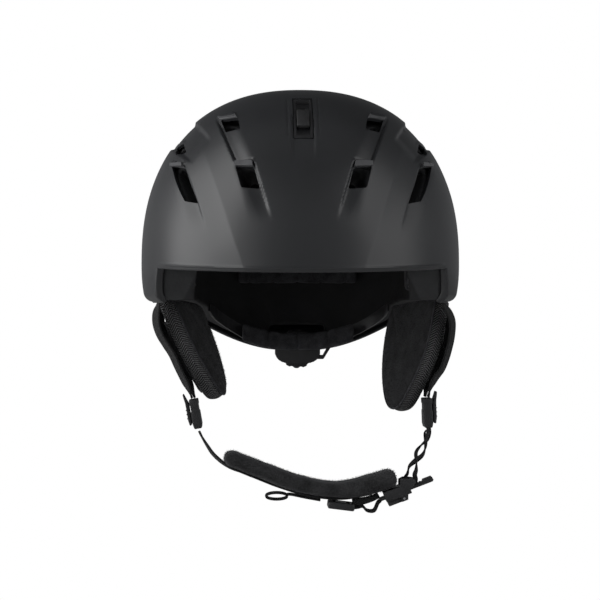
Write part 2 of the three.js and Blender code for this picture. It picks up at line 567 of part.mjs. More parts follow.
add("strap_adjuster", "plastic", geometryOf(subtractAll(adjusterBody, adjusterSlots))
  .rotateY(rad(ADJUSTER.tilt)).translate(ADJUSTER.x, STRAP_Y, ADJUSTER.z));
add("tongue_webbing", "webbing", band([[39.6, STRAP_Y, -173.9], [44.4, STRAP_Y, -173],
  [47.6, STRAP_Y, -176], [52.6, STRAP_Y, -176.2], [55.6, STRAP_Y, -170.6]],
STRAP.thickness, STRAP.width, frontToBack, 8));
add("chin_webbing_right", "webbing", band([[90.4, STRAP_Y, SWING_Z + sunk], [88, STRAP_Y, -128],
  [84, STRAP_Y, -138], [77.4, STRAP_Y, -150.5]], (t) => 2.6 + 7 * t, roundedTop(35), frontToBack, 10));

// ---------- ratchet buckle ----------
// Drawn in its own frame: x along the tongue, z away from the throat side, y front to back.
const inBuckle = (g) => g.rotateY(rad(-BUCKLE.angle)).translate(BUCKLE.x, STRAP_Y, BUCKLE.z);
const TONGUE = { from: -13, to: 28, half: 7, thickness: 2, teeth: 12, pitch: 2, grip: 1.4 };
const HOUSING_BOX = { from: -9, to: 10, half: 12, low: -2.9, high: 4.4 };
const tongueSide = new THREE.Shape();
tongueSide.moveTo(TONGUE.from, -TONGUE.thickness / 2);
tongueSide.lineTo(TONGUE.to - 1, -TONGUE.thickness / 2);
tongueSide.lineTo(TONGUE.to, 0);
tongueSide.lineTo(TONGUE.to - 0.5, TONGUE.thickness / 2 + TONGUE.grip);
tongueSide.lineTo(TONGUE.to - 7, TONGUE.thickness / 2 + TONGUE.grip);
for (let i = 0; i < TONGUE.teeth; i++) {
  const x = TONGUE.to - 8 - i * TONGUE.pitch;
  tongueSide.lineTo(x, TONGUE.thickness / 2);
  tongueSide.lineTo(x - TONGUE.pitch, TONGUE.thickness / 2 + 0.8);
}
tongueSide.lineTo(TONGUE.to - 8 - TONGUE.teeth * TONGUE.pitch, TONGUE.thickness / 2);
tongueSide.lineTo(TONGUE.from, TONGUE.thickness / 2);
add("ratchet_tongue", "plastic", inBuckle(new THREE.ExtrudeGeometry(tongueSide,
  { depth: 2 * TONGUE.half, bevelEnabled: false }).applyMatrix4(acrossY).translate(0, TONGUE.half, 0)));

const LEVER_PIN = { x: 3.5, z: -4.6, radius: 0.9 };
const BARS = [[7, 6.6], [13.4, 4.6]];
// Outline of the housing's cheeks, which carry the lever's pin below and the strap bars above.
const CHEEK = [[1.2, -6.4], [5.8, -6.4], [7.5, -2], [15.2, 2.8], [15.4, 5.4], [12.8, 6.8], [8.4, 8.6],
  [5.2, 8.2], [3.4, 4]];
const alongY = (x, z, radius, half, segments = 16) =>
  new THREE.CylinderGeometry(radius, radius, 2 * half, segments).translate(x, 0, z);
let housing = solidOf(block([HOUSING_BOX.from, -HOUSING_BOX.half, HOUSING_BOX.low],
  [HOUSING_BOX.to, HOUSING_BOX.half, HOUSING_BOX.high]))
  .subtract(solidOf(block([-20, -TONGUE.half - 0.5, -1.4], [20, TONGUE.half + 0.5, 3])));
for (const end of [-1, 1]) {
  const y = [end * 9.9, end * HOUSING_BOX.half].sort((a, b) => a - b);
  const cheek = new THREE.Shape(CHEEK.map(([x, z]) => new THREE.Vector2(x, z)));
  const plate = new THREE.ExtrudeGeometry(cheek, { depth: y[1] - y[0], bevelEnabled: false });
  housing = housing.add(solidOf(plate.applyMatrix4(acrossY).translate(0, y[1], 0)));
}
for (const [x, z] of BARS) housing = housing.add(solidOf(alongY(x, z, 1.3, 11)));
housing = housing.subtract(solidOf(alongY(LEVER_PIN.x, LEVER_PIN.z, LEVER_PIN.radius + GAP, 20)));
add("buckle_housing", "plastic", inBuckle(geometryOf(housing)));
add("lever_pin", "metal",
  inBuckle(alongY(LEVER_PIN.x, LEVER_PIN.z, LEVER_PIN.radius, HOUSING_BOX.half, 12)));
const lever = solidOf(block([-8.4, -9.4, -6.4], [LEVER_PIN.x, 9.4, -3.3]))
  .add(solidOf(alongY(LEVER_PIN.x, LEVER_PIN.z, 1.45, 9.4)))
  .subtract(solidOf(alongY(LEVER_PIN.x, LEVER_PIN.z, LEVER_PIN.radius + GAP, 20)));
add("release_lever", "plastic", inBuckle(geometryOf(lever)));

export default group;
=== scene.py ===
import math

import bmesh
import bpy
import numpy as np
from mathutils import Matrix, Vector


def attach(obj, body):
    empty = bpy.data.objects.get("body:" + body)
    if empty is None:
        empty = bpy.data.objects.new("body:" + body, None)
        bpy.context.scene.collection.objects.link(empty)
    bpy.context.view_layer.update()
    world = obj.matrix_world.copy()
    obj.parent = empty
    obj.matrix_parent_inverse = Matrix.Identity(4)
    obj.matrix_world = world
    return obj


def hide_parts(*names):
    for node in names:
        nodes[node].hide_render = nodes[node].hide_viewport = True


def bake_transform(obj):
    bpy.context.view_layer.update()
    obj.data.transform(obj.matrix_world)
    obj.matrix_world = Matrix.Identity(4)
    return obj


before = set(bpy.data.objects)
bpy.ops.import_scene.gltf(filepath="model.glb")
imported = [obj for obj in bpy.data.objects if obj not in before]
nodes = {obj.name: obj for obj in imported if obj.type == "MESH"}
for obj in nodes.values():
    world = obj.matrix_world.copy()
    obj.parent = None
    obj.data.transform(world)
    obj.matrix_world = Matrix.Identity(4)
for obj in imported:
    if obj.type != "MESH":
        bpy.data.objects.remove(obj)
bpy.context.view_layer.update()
scene = bpy.context.scene

MM = 0.001
SIDES = (("left", -1), ("right", 1))

# Dimensions shared with the CAD model, in millimetres.
DOME = {"side": 114, "front": 136, "rear": 142, "top": 125.2, "low": 90.7}
PLAN_POWER = 2.2
RISE_POWER = 2.33
CAVITY = {"side": 88, "front": 106, "rear": 102, "top": 97, "low": 110}
SIDE_EDGE_Z, NAPE_EDGE_Z = -28, -63
SWEEP_START, SWEEP_END = 122, 174
BROW_CORNER = (-71, -2.6)
BROW_FRONT = (-200, -9.4)
JAW_FRONT_Y = -61
VENTS = {
    "inner_upper": [(56.6, 99.8), (44.6, 100.4), (42.8, 91.4), (54, 91.6)],
    "inner_lower": [(46.4, 65.4), (34.2, 64.6), (30.4, 50.4), (42.6, 50.6)],
    "outer_upper": [(89.8, 83.4), (85, 86.4), (83.2, 79.6), (88.4, 76.4)],
    "outer_lower": [(91.2, 67.8), (82.6, 66.6), (73.7, 41.5), (82.6, 43)],
}
# The lip over each front vent, from corner to corner, painted pale as a highlight.
HIGHLIGHT_LIPS = {
    "inner_upper": [(58.4, 102), (47, 104.4), (45.2, 100.6), (57.2, 100)],
    "inner_lower": [(46.9, 69), (34.9, 69), (34.3, 65), (46.6, 65.8)],
    "outer_lower": [(92, 70.2), (83.6, 70), (82.8, 67), (91.6, 68)],
}
REAR_VENTS = {
    "rear_upper": [(60, 84), (40, 88), (38, 79), (57, 75)],
    "rear_lower": [(66, 46), (40, 50), (38, 41), (64, 37)],
}
SLIDE_AXIS = (-28.24, 14.74)
SLIDE_RADIUS = 106.7
STRAP_Y = -12
SWING_Z = -127
EAR = {
    "left": {"x": -86.3, "y": 4.5, "tilt": 22.5, "yaw": 10.5, "rise": 3},
    "right": {"x": 86.5, "y": 4.5, "tilt": 11.5, "yaw": 21, "rise": -2.5},
}
EAR_HINGE_Z = -30
EAR_FOLD = 13
EAR_THICKNESS = 15
WEBBING_LINE = {
    "left": [(-100.4, -9), (-100.6, -28), (-102.2, -34), (-102.2, -42), (-99.6, -50), (-95.4, -57),
             (-91, -64), (-87.4, -72), (-83.6, -80), (-79.6, -88), (-76.6, -95.5)],
    "right": [(100.6, -9), (100.6, -28.4), (104, -33.4), (106.8, -40), (106.8, -50), (105, -60),
              (102.8, -68), (100, -75), (95.8, -81), (92.6, -87), (90.6, -94.8)],
}
ANCHOR_Y = {"front": -40, "rear": 40}
PAD_LINE = [(-54.5, -136.7), (-40, -142.3), (-24.3, -148.4), (-5.2, -155.6), (18, -160.4), (36, -160.4),
            (54, -156.2), (66, -152.5)]
CHIN_PAD = {"thickness": 12.3, "width": 30}
DIVIDER_LEAN = {"left": 10, "right": 2}
DIVIDER_TOP = {"left": (-76.6, -96.2), "right": (90.6, -95.5)}
ACROSS = np.array((0.0, 1.0, 0.0))


# ---------- small helpers ----------
def link(name, data):
    obj = bpy.data.objects.new(name, data)
    scene.collection.objects.link(obj)
    return obj


def smooth(obj, angle=None):
    obj.data.shade_smooth()
    if angle is not None:
        obj.data.set_sharp_from_angle(angle=math.radians(angle))
    return obj


def from_arrays(name, verts, faces, angle=None, uvs=None):
    """verts in millimetres; uvs maps each vertex to a (u, v) pair."""
    mesh = bpy.data.meshes.new(name)
    places = (np.asarray(verts, float) * MM).tolist()
    mesh.from_pydata(places, [], [tuple(int(i) for i in f) for f in faces])
    if uvs is not None:
        layer = mesh.uv_layers.new(name="UVMap")
        loops = np.zeros(len(mesh.loops), int)
        mesh.loops.foreach_get("vertex_index", loops)
        layer.data.foreach_set("uv", np.asarray(uvs, float)[loops].ravel())
    mesh.update()
    return smooth(link(name, mesh), angle)


def bake(obj):
    """Applies every modifier."""
    bpy.context.view_layer.update()
    graph = bpy.context.evaluated_depsgraph_get()
    mesh = bpy.data.meshes.new_from_object(
        obj.evaluated_get(graph), preserve_all_data_layers=True, depsgraph=graph)
    obj.modifiers.clear()
    obj.data = mesh
    return obj


def modify(obj, kind, **settings):
    m = obj.modifiers.new(kind.lower(), kind)
    for key, value in settings.items():
        setattr(m, key, value)
    return obj


def cut(obj, cutters):
    for cutter in cutters:
        modify(obj, "BOOLEAN", operation="DIFFERENCE", solver="MANIFOLD", object=cutter)
    bake(obj)
    for cutter in cutters:
        bpy.data.objects.remove(cutter, do_unlink=True)
    return obj


def bevel(obj, width, angle=35, **settings):
    return modify(obj, "BEVEL", width=width * MM, segments=2, limit_method="ANGLE",
                  angle_limit=math.radians(angle), **settings)


def paint(obj, *mats):
    obj.data.materials.clear()
    for m in mats:
        obj.data.materials.append(m)
    return obj


def ride_as(obj, body, slot, *replaced):
    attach(obj, body)
    if replaced:
        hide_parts(*replaced)
    return obj


def face_outwards(obj):
    b = bmesh.new()
    b.from_mesh(obj.data)
    bmesh.ops.recalc_face_normals(b, faces=b.faces)
    b.to_mesh(obj.data)
    b.free()
    return obj


def vertex_values(obj, key="co"):
    values = np.zeros(len(obj.data.vertices) * 3)
    obj.data.vertices.foreach_get(key, values)
    return values.reshape(-1, 3)


def set_vertices(obj, places):
    obj.data.vertices.foreach_set("co", places.ravel())
    obj.data.update()


def unit(v):
    return v / np.linalg.norm(v, axis=-1, keepdims=True)


def smoothstep(lo, hi, v):
    t = np.clip((np.asarray(v, float) - lo) / (hi - lo), 0, 1)
    return t * t * (3 - 2 * t)


def grid_faces(rows, columns, flip=False):
    """Quads between rows of points that each close on themselves."""
    faces = []
    for a in range(0, (rows - 1) * columns, columns):
        for c in range(columns):
            d = (c + 1) % columns
            quad = (a + c, a + d, a + columns + d, a + columns + c)
            faces.append(quad[::-1] if flip else quad)
    return faces


def fan(hub, start, count, flip=False):
    """Triangles from one vertex to a ring of vertices."""
    faces = [(hub, start + c, start + (c + 1) % count) for c in range(count)]
    return [(a, c, b) for a, b, c in faces] if flip else faces


def closed_grid(rows, columns):
    """A grid that wraps round, with the two hubs that follow its rows closing its ends."""
    hub = rows * columns
    return (grid_faces(rows, columns) + fan(hub, 0, columns, flip=True)
            + fan(hub + 1, hub - columns, columns))


def end_caps(rows, columns):
    return [tuple(range(columns)), tuple((rows - 1) * columns + c for c in range(columns))[::-1]]


def prism_faces(n):
    sides = [(i, (i + 1) % n, n + (i + 1) % n, n + i) for i in range(n)]
    return [tuple(range(n))[::-1], tuple(range(n, 2 * n))] + sides


def resample(points, samples, endpoint=True):
    """Evenly spaced points along a line of points, and its length."""
    length = np.concatenate([[0], np.cumsum(np.linalg.norm(np.diff(points, axis=0), axis=1))])
    at = np.linspace(0, length[-1], samples, endpoint=endpoint)
    return np.stack([np.interp(at, length, values) for values in points.T], axis=1), length[-1]


def catmull(points, samples):
    """Evenly spaced points and tangents on the centripetal curve through the points."""
    p = np.asarray(points, float)
    ext = np.vstack([2 * p[0] - p[1], p, 2 * p[-1] - p[-2]])
    out = []
    for i in range(len(p) - 1):
        p0, p1, p2, p3 = ext[i:i + 4]
        pairs = ((p0, p1), (p1, p2), (p2, p3))
        d0, d1, d2 = (max(np.linalg.norm(b - a) ** 0.5, 1e-4) for a, b in pairs)
        t1 = ((p1 - p0) / d0 - (p2 - p0) / (d0 + d1) + (p2 - p1) / d1) * d1
        t2 = ((p2 - p1) / d1 - (p3 - p1) / (d1 + d2) + (p3 - p2) / d2) * d1
        for t in np.linspace(0, 1, 40, endpoint=i == len(p) - 2):
            out.append(p1 + t1 * t + (-3 * p1 + 3 * p2 - 2 * t1 - t2) * t ** 2
                       + (2 * p1 - 2 * p2 + t1 + t2) * t ** 3)
    even, length = resample(np.array(out), samples)
    return even, unit(np.gradient(even, axis=0)), length


# ---------- materials ----------
class Shader:
    """A material with a Principled surface, and short ways to add nodes to it."""

    def __init__(self, name, color, roughness, **values):
        self.mat = bpy.data.materials.new(name)
        self.mat.use_nodes = True
        self.tree = self.mat.node_tree
        self.bsdf = self.tree.nodes["Principled BSDF"]
        self.set("Base Color", (*color, 1))
        self.set("Roughness", roughness)
        for key, value in values.items():
            self.set(key.replace("_", " "), value)
        self.coord = self.tree.nodes.new("ShaderNodeTexCoord")

    def set(self, socket, value):
        self.bsdf.inputs[socket].default_value = value

    def node(self, kind, **props):
        n = self.tree.nodes.new(kind)
        for key, value in props.items():
            setattr(n, key, value)
        return n

    def link(self, a, b):
        self.tree.links.new(a, b)

    def noise(self, scale, detail=4.0, stretch=None):
        n = self.node("ShaderNodeTexNoise")
        n.inputs["Scale"].default_value = scale
        n.inputs["Detail"].default_value = detail
        source = self.coord.outputs["Object"]
        if stretch:
            m = self.node("ShaderNodeMapping")
            m.inputs["Scale"].default_value = stretch
            self.link(source, m.inputs["Vector"])
            source = m.outputs[0]
        self.link(source, n.inputs["Vector"])
        return n.outputs["Fac"]

    def math(self, op, *values):
        n = self.node("ShaderNodeMath", operation=op)
        for socket, value in zip(n.inputs, values):
            if isinstance(value, (int, float)):
                socket.default_value = value
            else:
                self.link(value, socket)
        return n.outputs[0]

    def plus(self, a, b):
        return self.math("ADD", a, b)

    def times(self, a, b):
        return self.math("MULTIPLY", a, b)

    def spread(self, value, lo, hi, from_lo=0.3, from_hi=0.7):
        n = self.node("ShaderNodeMapRange")
        self.link(value, n.inputs["Value"])
        for key, v in (("From Min", from_lo), ("From Max", from_hi), ("To Min", lo), ("To Max", hi)):
            n.inputs[key].default_value = v
        return n.outputs["Result"]

    def colours(self, value, *stops):
        n = self.node("ShaderNodeValToRGB")
        for element, (place, color) in zip(n.color_ramp.elements, stops):
            element.position = place
            element.color = (*color, 1)
        self.link(value, n.inputs["Fac"])
        return n.outputs["Color"]

    def tone(self, value, *stops):
        return self.out("Base Color", self.colours(value, *stops))

    def split(self, source):
        n = self.node("ShaderNodeSeparateXYZ")
        self.link(source, n.inputs[0])
        return n.outputs

    def bump(self, height, strength, distance, after=None):
        n = self.node("ShaderNodeBump")
        n.inputs["Strength"].default_value = strength
        n.inputs["Distance"].default_value = distance * MM
        self.link(height, n.inputs["Height"])
        if after is not None:
            self.link(after, n.inputs["Normal"])
        return n.outputs["Normal"]

    def out(self, socket, value):
        self.link(value, self.bsdf.inputs[socket])
        return self

    def finish(self, roughness, normal):
        """Links the roughness and the bump, and gives the finished material."""
        return self.out("Roughness", roughness).out("Normal", normal).mat

    def uv(self):
        return self.split(self.coord.outputs["UV"])[:2]


def shell_material():
    s = Shader("shell_satin", (0.017, 0.018, 0.02), 0.44, Specular_IOR_Level=0.5, Coat_Weight=0.08,
               Coat_Roughness=0.3)
    broad = s.noise(16, 3)
    fine = s.noise(2600, 2)
    s.tone(broad, (0.3, (0.0155, 0.0162, 0.018)), (0.7, (0.0195, 0.0205, 0.023)))
    both = s.plus(s.times(broad, 0.6), s.times(fine, 0.4))
    return s.finish(s.spread(both, 0.41, 0.48), s.bump(fine, 0.12, 0.06))


def foam_material():
    """Bare foam beads low at the temples, and a dark lining everywhere else."""
    s = Shader("foam_beads", (0.03, 0.031, 0.033), 0.78, Specular_IOR_Level=0.22)
    v = s.node("ShaderNodeTexVoronoi", feature="F1")
    v.inputs["Scale"].default_value = 330
    s.link(s.coord.outputs["Object"], v.inputs["Vector"])
    noise = s.noise(60)
    across, back, up = s.split(s.coord.outputs["Object"])
    slant = s.plus(s.math("ABSOLUTE", across), s.times(up, 0.53))
    bare = s.spread(slant, 0, 1, 0.0685, 0.0705)
    bare = s.times(bare, s.spread(up, 0, 1, -0.0274, -0.0256))
    bare = s.times(bare, s.spread(back, 1, 0, -0.056, -0.053))
    foam = s.colours(noise, (0.3, (0.03, 0.0305, 0.032)), (0.75, (0.044, 0.045, 0.047)))
    lining = s.colours(noise, (0.3, (0.018, 0.018, 0.019)), (0.75, (0.026, 0.026, 0.0275)))
    mix = s.node("ShaderNodeMix", data_type="RGBA")
    s.link(bare, mix.inputs["Factor"])
    s.link(lining, mix.inputs[6])
    s.link(foam, mix.inputs[7])
    s.out("Base Color", mix.outputs[2])
    beads = s.math("SUBTRACT", 1.0, v.outputs["Distance"])
    return s.finish(s.spread(noise, 0.7, 0.84), s.bump(beads, 0.35, 0.5))


def scaled(color, factor):
    return tuple(c * factor for c in color)


def plastic_material(name, color, roughness, grain=1500, depth=0.05):
    s = Shader(name, color, roughness, Specular_IOR_Level=0.45)
    broad = s.noise(90)
    fine = s.noise(grain, 3)
    s.tone(broad, (0.3, scaled(color, 0.8)), (0.7, scaled(color, 1.3)))
    return s.finish(s.spread(broad, roughness - 0.05, roughness + 0.08), s.bump(fine, 0.3, depth))


def steel_material():
    s = Shader("brushed_steel", (0.42, 0.42, 0.44), 0.34, Metallic=1.0)
    streak = s.noise(700, 4, (0.06, 1, 1))
    s.tone(streak, (0.3, (0.36, 0.36, 0.38)), (0.7, (0.48, 0.48, 0.5)))
    return s.finish(s.spread(streak, 0.26, 0.42), s.bump(streak, 0.15, 0.03))


def plush_material(name, color, scale=420):
    s = Shader(name, color, 0.96, Specular_IOR_Level=0.15, Sheen_Weight=0.22, Sheen_Roughness=0.45,
               Sheen_Tint=(0.5, 0.5, 0.52, 1))
    clump = s.noise(scale * 0.28, 3)
    pile = s.noise(scale * 3.2, 4)
    both = s.plus(s.times(clump, 0.5), s.times(pile, 0.5))
    s.tone(both, (0.36, scaled(color, 0.55)), (0.64, scaled(color, 1.7)))
    s.out("Normal", s.bump(pile, 0.7, 0.35, s.bump(clump, 0.5, 0.7)))
    return s.mat


def webbing_material():
    """Ribbed weave: u runs along the webbing and v across it, both in millimetres."""
    s = Shader("strap_weave", (0.012, 0.012, 0.013), 0.8, Specular_IOR_Level=0.22, Sheen_Weight=0.08,
               Sheen_Roughness=0.4, Sheen_Tint=(0.5, 0.5, 0.5, 1))
    u, v = s.uv()
    rib = s.math("SINE", s.times(u, 2 * math.pi / 1.3))
    yarn = s.math("SINE", s.plus(s.times(v, 2 * math.pi / 1.1), s.times(u, math.pi / 1.3)))
    weave = s.times(rib, yarn)
    grain = s.noise(1800)
    s.tone(s.plus(s.times(weave, 0.2), grain), (0.3, (0.007, 0.007, 0.0074)), (0.75, (0.019, 0.019, 0.02)))
    return s.finish(s.spread(grain, 0.72, 0.88), s.bump(weave, 0.7, 0.25, s.bump(grain, 0.3, 0.1)))


def knit_material():
    """Zigzag knit: u runs along the band and v across it, both in millimetres."""
    s = Shader("zigzag_knit", (0.03, 0.03, 0.031), 0.85, Specular_IOR_Level=0.3, Sheen_Weight=0.15,
               Sheen_Roughness=0.4, Sheen_Tint=(0.5, 0.5, 0.5, 1))
    u, v = s.uv()
    zig = s.math("PINGPONG", v, 4.2)
    ridge = s.math("SINE", s.times(s.plus(u, s.times(zig, 0.75)), 2 * math.pi / 1.9))
    grain = s.noise(1500)
    tone = s.plus(s.times(s.plus(ridge, 1.0), 0.4), s.times(grain, 0.2))
    s.tone(tone, (0.25, (0.013, 0.013, 0.0135)), (0.8, (0.15, 0.15, 0.154)))
    return s.finish(s.spread(grain, 0.78, 0.92), s.bump(ridge, 0.9, 0.7, s.bump(grain, 0.3, 0.12)))


SHELL = shell_material()
FOAM = foam_material()
PLASTIC = plastic_material("moulded_plastic", (0.014, 0.014, 0.0155), 0.42)
TEXTURED = plastic_material("textured_plastic", (0.02, 0.02, 0.022), 0.5, 1100, 0.09)
RUBBER = plastic_material("grip_rubber", (0.016, 0.016, 0.017), 0.62, 1900, 0.07)
# Pale plastic for the front vents' lips: a painted highlight, far lighter than the shell around it.
LIP_HIGHLIGHT = plastic_material("lip_painted_highlight", (0.085, 0.086, 0.09), 0.29)
STEEL = steel_material()
PLUSH = plush_material("ear_plush", (0.021, 0.021, 0.022))
FLEECE = plush_material("chin_fleece", (0.026, 0.026, 0.027), 300)
LINING = plush_material("brushed_lining", (0.033, 0.033, 0.036), 520)
WEBBING = webbing_material()
KNIT = knit_material()


# ---------- the dome ----------
def dome_level(size, x, y, z):
    long = np.where(y < 0, size["front"], size["rear"])
    tall = np.where(z > 0, size["top"], size["low"])
    plan = np.abs(x / size["side"]) ** PLAN_POWER + np.abs(y / long) ** PLAN_POWER
    return plan ** (RISE_POWER / PLAN_POWER) + np.abs(z / tall) ** RISE_POWER


def dome_point(size, azimuth, elevation):
    """Azimuth is measured round from the front towards +X, in degrees."""
    a, e = np.radians(azimuth), np.radians(elevation)
    d = np.stack([np.cos(e) * np.sin(a), -np.cos(e) * np.cos(a), np.sin(e)], axis=-1)
    return d * (dome_level(size, d[..., 0], d[..., 1], d[..., 2]) ** (-1 / RISE_POWER))[..., None]


def dome_normal(size, p):
    level = lambda q: dome_level(size, q[..., 0], q[..., 1], q[..., 2])
    return unit(np.stack([level(p + step) - level(p - step) for step in np.eye(3) * 0.02], axis=-1))


def dome_y(size, x, z, side):
    low = size["top"] if z > 0 else size["low"]
    plan = (1 - abs(z / low) ** RISE_POWER) ** (PLAN_POWER / RISE_POWER)
    reach = max(0.0, plan - abs(x / size["side"]) ** PLAN_POWER) ** (1 / PLAN_POWER)
    return side * reach * (size["front"] if side < 0 else size["rear"])


def edge_height(x, y):
    """The shell's lower edge: level at the sides and swept down at the nape."""
    sweep = smoothstep(SWEEP_START, SWEEP_END, np.degrees(np.arctan2(np.abs(x), -y)))
    return SIDE_EDGE_Z + (NAPE_EDGE_Z - SIDE_EDGE_Z) * sweep * np.hypot(x, y) / 110


def brow_height(y):
    slope = (BROW_CORNER[1] - BROW_FRONT[1]) / (BROW_CORNER[0] - BROW_FRONT[0])
    return BROW_CORNER[1] + slope * (y - BROW_CORNER[0])


def kept(p, margin):
    """True where the shell has material: above the lower edge and outside the face opening."""
    x, y, z = p[..., 0], p[..., 1], p[..., 2]
    drop = np.clip((BROW_CORNER[1] - z) / (BROW_CORNER[1] - SIDE_EDGE_Z), 0, 1)
    jaw = BROW_CORNER[0] + (JAW_FRONT_Y - BROW_CORNER[0]) * drop
    opening = (y < jaw + margin) & (z < brow_height(y) + margin)
    return (z > edge_height(x, y) + margin) & ~opening


def vent_plug(name, corners, side, mirror, depth=52, grow=0.0, radius=1.6, above=14):
    """A straight-sided plug through the dome's wall with rounded corners."""
    pts = [Vector((mirror * x, dome_y(DOME, x, z, side), z)) for x, z in corners]
    middle = sum(pts, Vector()) / len(pts)
    normal = Vector(dome_normal(DOME, np.array(middle)))
    up = (Vector((0, 0, 1)) - normal * normal.z).normalized()
    across = up.cross(normal)
    flat = np.array([[(p - middle).dot(across), (p - middle).dot(up)] for p in pts])
    outline = []
    for i, corner in enumerate(flat):
        before, after = unit(flat[i - 1] - corner), unit(flat[(i + 1) % len(flat)] - corner)
        for t in np.linspace(0, 1, 5):
            a, b = corner + before * radius, corner + after * radius
            outline.append((1 - t) ** 2 * a + 2 * t * (1 - t) * corner + t ** 2 * b)
    outline = np.array(outline)
    outline *= 1 + grow / np.linalg.norm(outline, axis=1)[:, None]
    u, v = outline.T
    if np.sum(u * np.roll(v, -1) - v * np.roll(u, -1)) < 0:
        outline = outline[::-1]
    verts = [middle + across * u + up * v + normal * h for h in (-depth, above) for u, v in outline]
    return from_arrays(name, [tuple(v) for v in verts], prism_faces(len(outline)))


def all_plugs(depth=52, grow=0.0):
    made = []
    for side, m in SIDES:
        for group, facing in ((VENTS, -1), (REAR_VENTS, 1)):
            for name, corners in group.items():
                made.append(vent_plug(f"plug_{name}_{side}", corners, facing, m, depth, grow))
    return made


def prism_x(name, outline, from_x, to_x):
    """A prism along X from a (y, z) outline that turns anticlockwise seen from +X."""
    verts = [(x, y, z) for x in (from_x, to_x) for y, z in outline]
    return from_arrays(name, verts, prism_faces(len(outline)))


def block(name, low, high):
    (x0, y0, z0), (x1, y1, z1) = low, high
    return prism_x(name, [(y0, z0), (y1, z0), (y1, z1), (y0, z1)], x0, x1)


def slide_arc(name, inner, outer, start, end, half):
    """A curved bar round the vent slider's axis, half of its width to each side of the middle."""
    at = lambda r, a: (SLIDE_AXIS[0] - r * math.cos(a), SLIDE_AXIS[1] + r * math.sin(a))
    angles = np.radians(np.linspace(start, end, 16))
    outline = [at(outer, a) for a in angles[::-1]] + [at(inner, a) for a in angles]
    return prism_x(name, outline, -half, half)


# ---------- the shell ----------
def line_distance(x, z, a, b):
    """Distance outboard of a line that runs down from a to b, and the share of the way along it."""
    ax, az, bx, bz = *a, *b
    length = math.hypot(bx - ax, bz - az)
    ux, uz = (bx - ax) / length, (bz - az) / length
    return -(x - ax) * uz + (z - az) * ux, ((x - ax) * ux + (z - az) * uz) / length


def hood(x, z, a, b, height, reach):
    """A raised lip above a vent's top edge a-b: highest at the edge and gone a reach above it."""
    d, t = line_distance(x, z, a, b)
    end = 1.2 / math.hypot(b[0] - a[0], b[1] - a[1])
    inside = smoothstep(-end, end, t) * smoothstep(-end, end, 1 - t)
    return height * inside * np.where(d > -0.6, np.clip(1 - d / reach, 0, 1) ** 1.5, 0)


def scoop(x, z, a, b, depth, soft, reach, start, end):
    """A hollow outboard of the line a-b: sharp on the line, running out a reach beyond it and below."""
    outboard, along = line_distance(x, z, a, b)
    hollow = smoothstep(-0.5, soft, outboard) * (1 - smoothstep(2, reach, outboard))
    return depth * hollow * smoothstep(start, 0.03, along) * (1 - smoothstep(0.55, end, along))


def facet(outboard, depth, steep, reach):
    """The dome falls away beyond a line: steeply at first, and back to nothing at the reach."""
    share = np.clip(outboard / steep, 0, 1)
    return depth * share * (2 - share) * (1 - smoothstep(steep, reach, outboard))


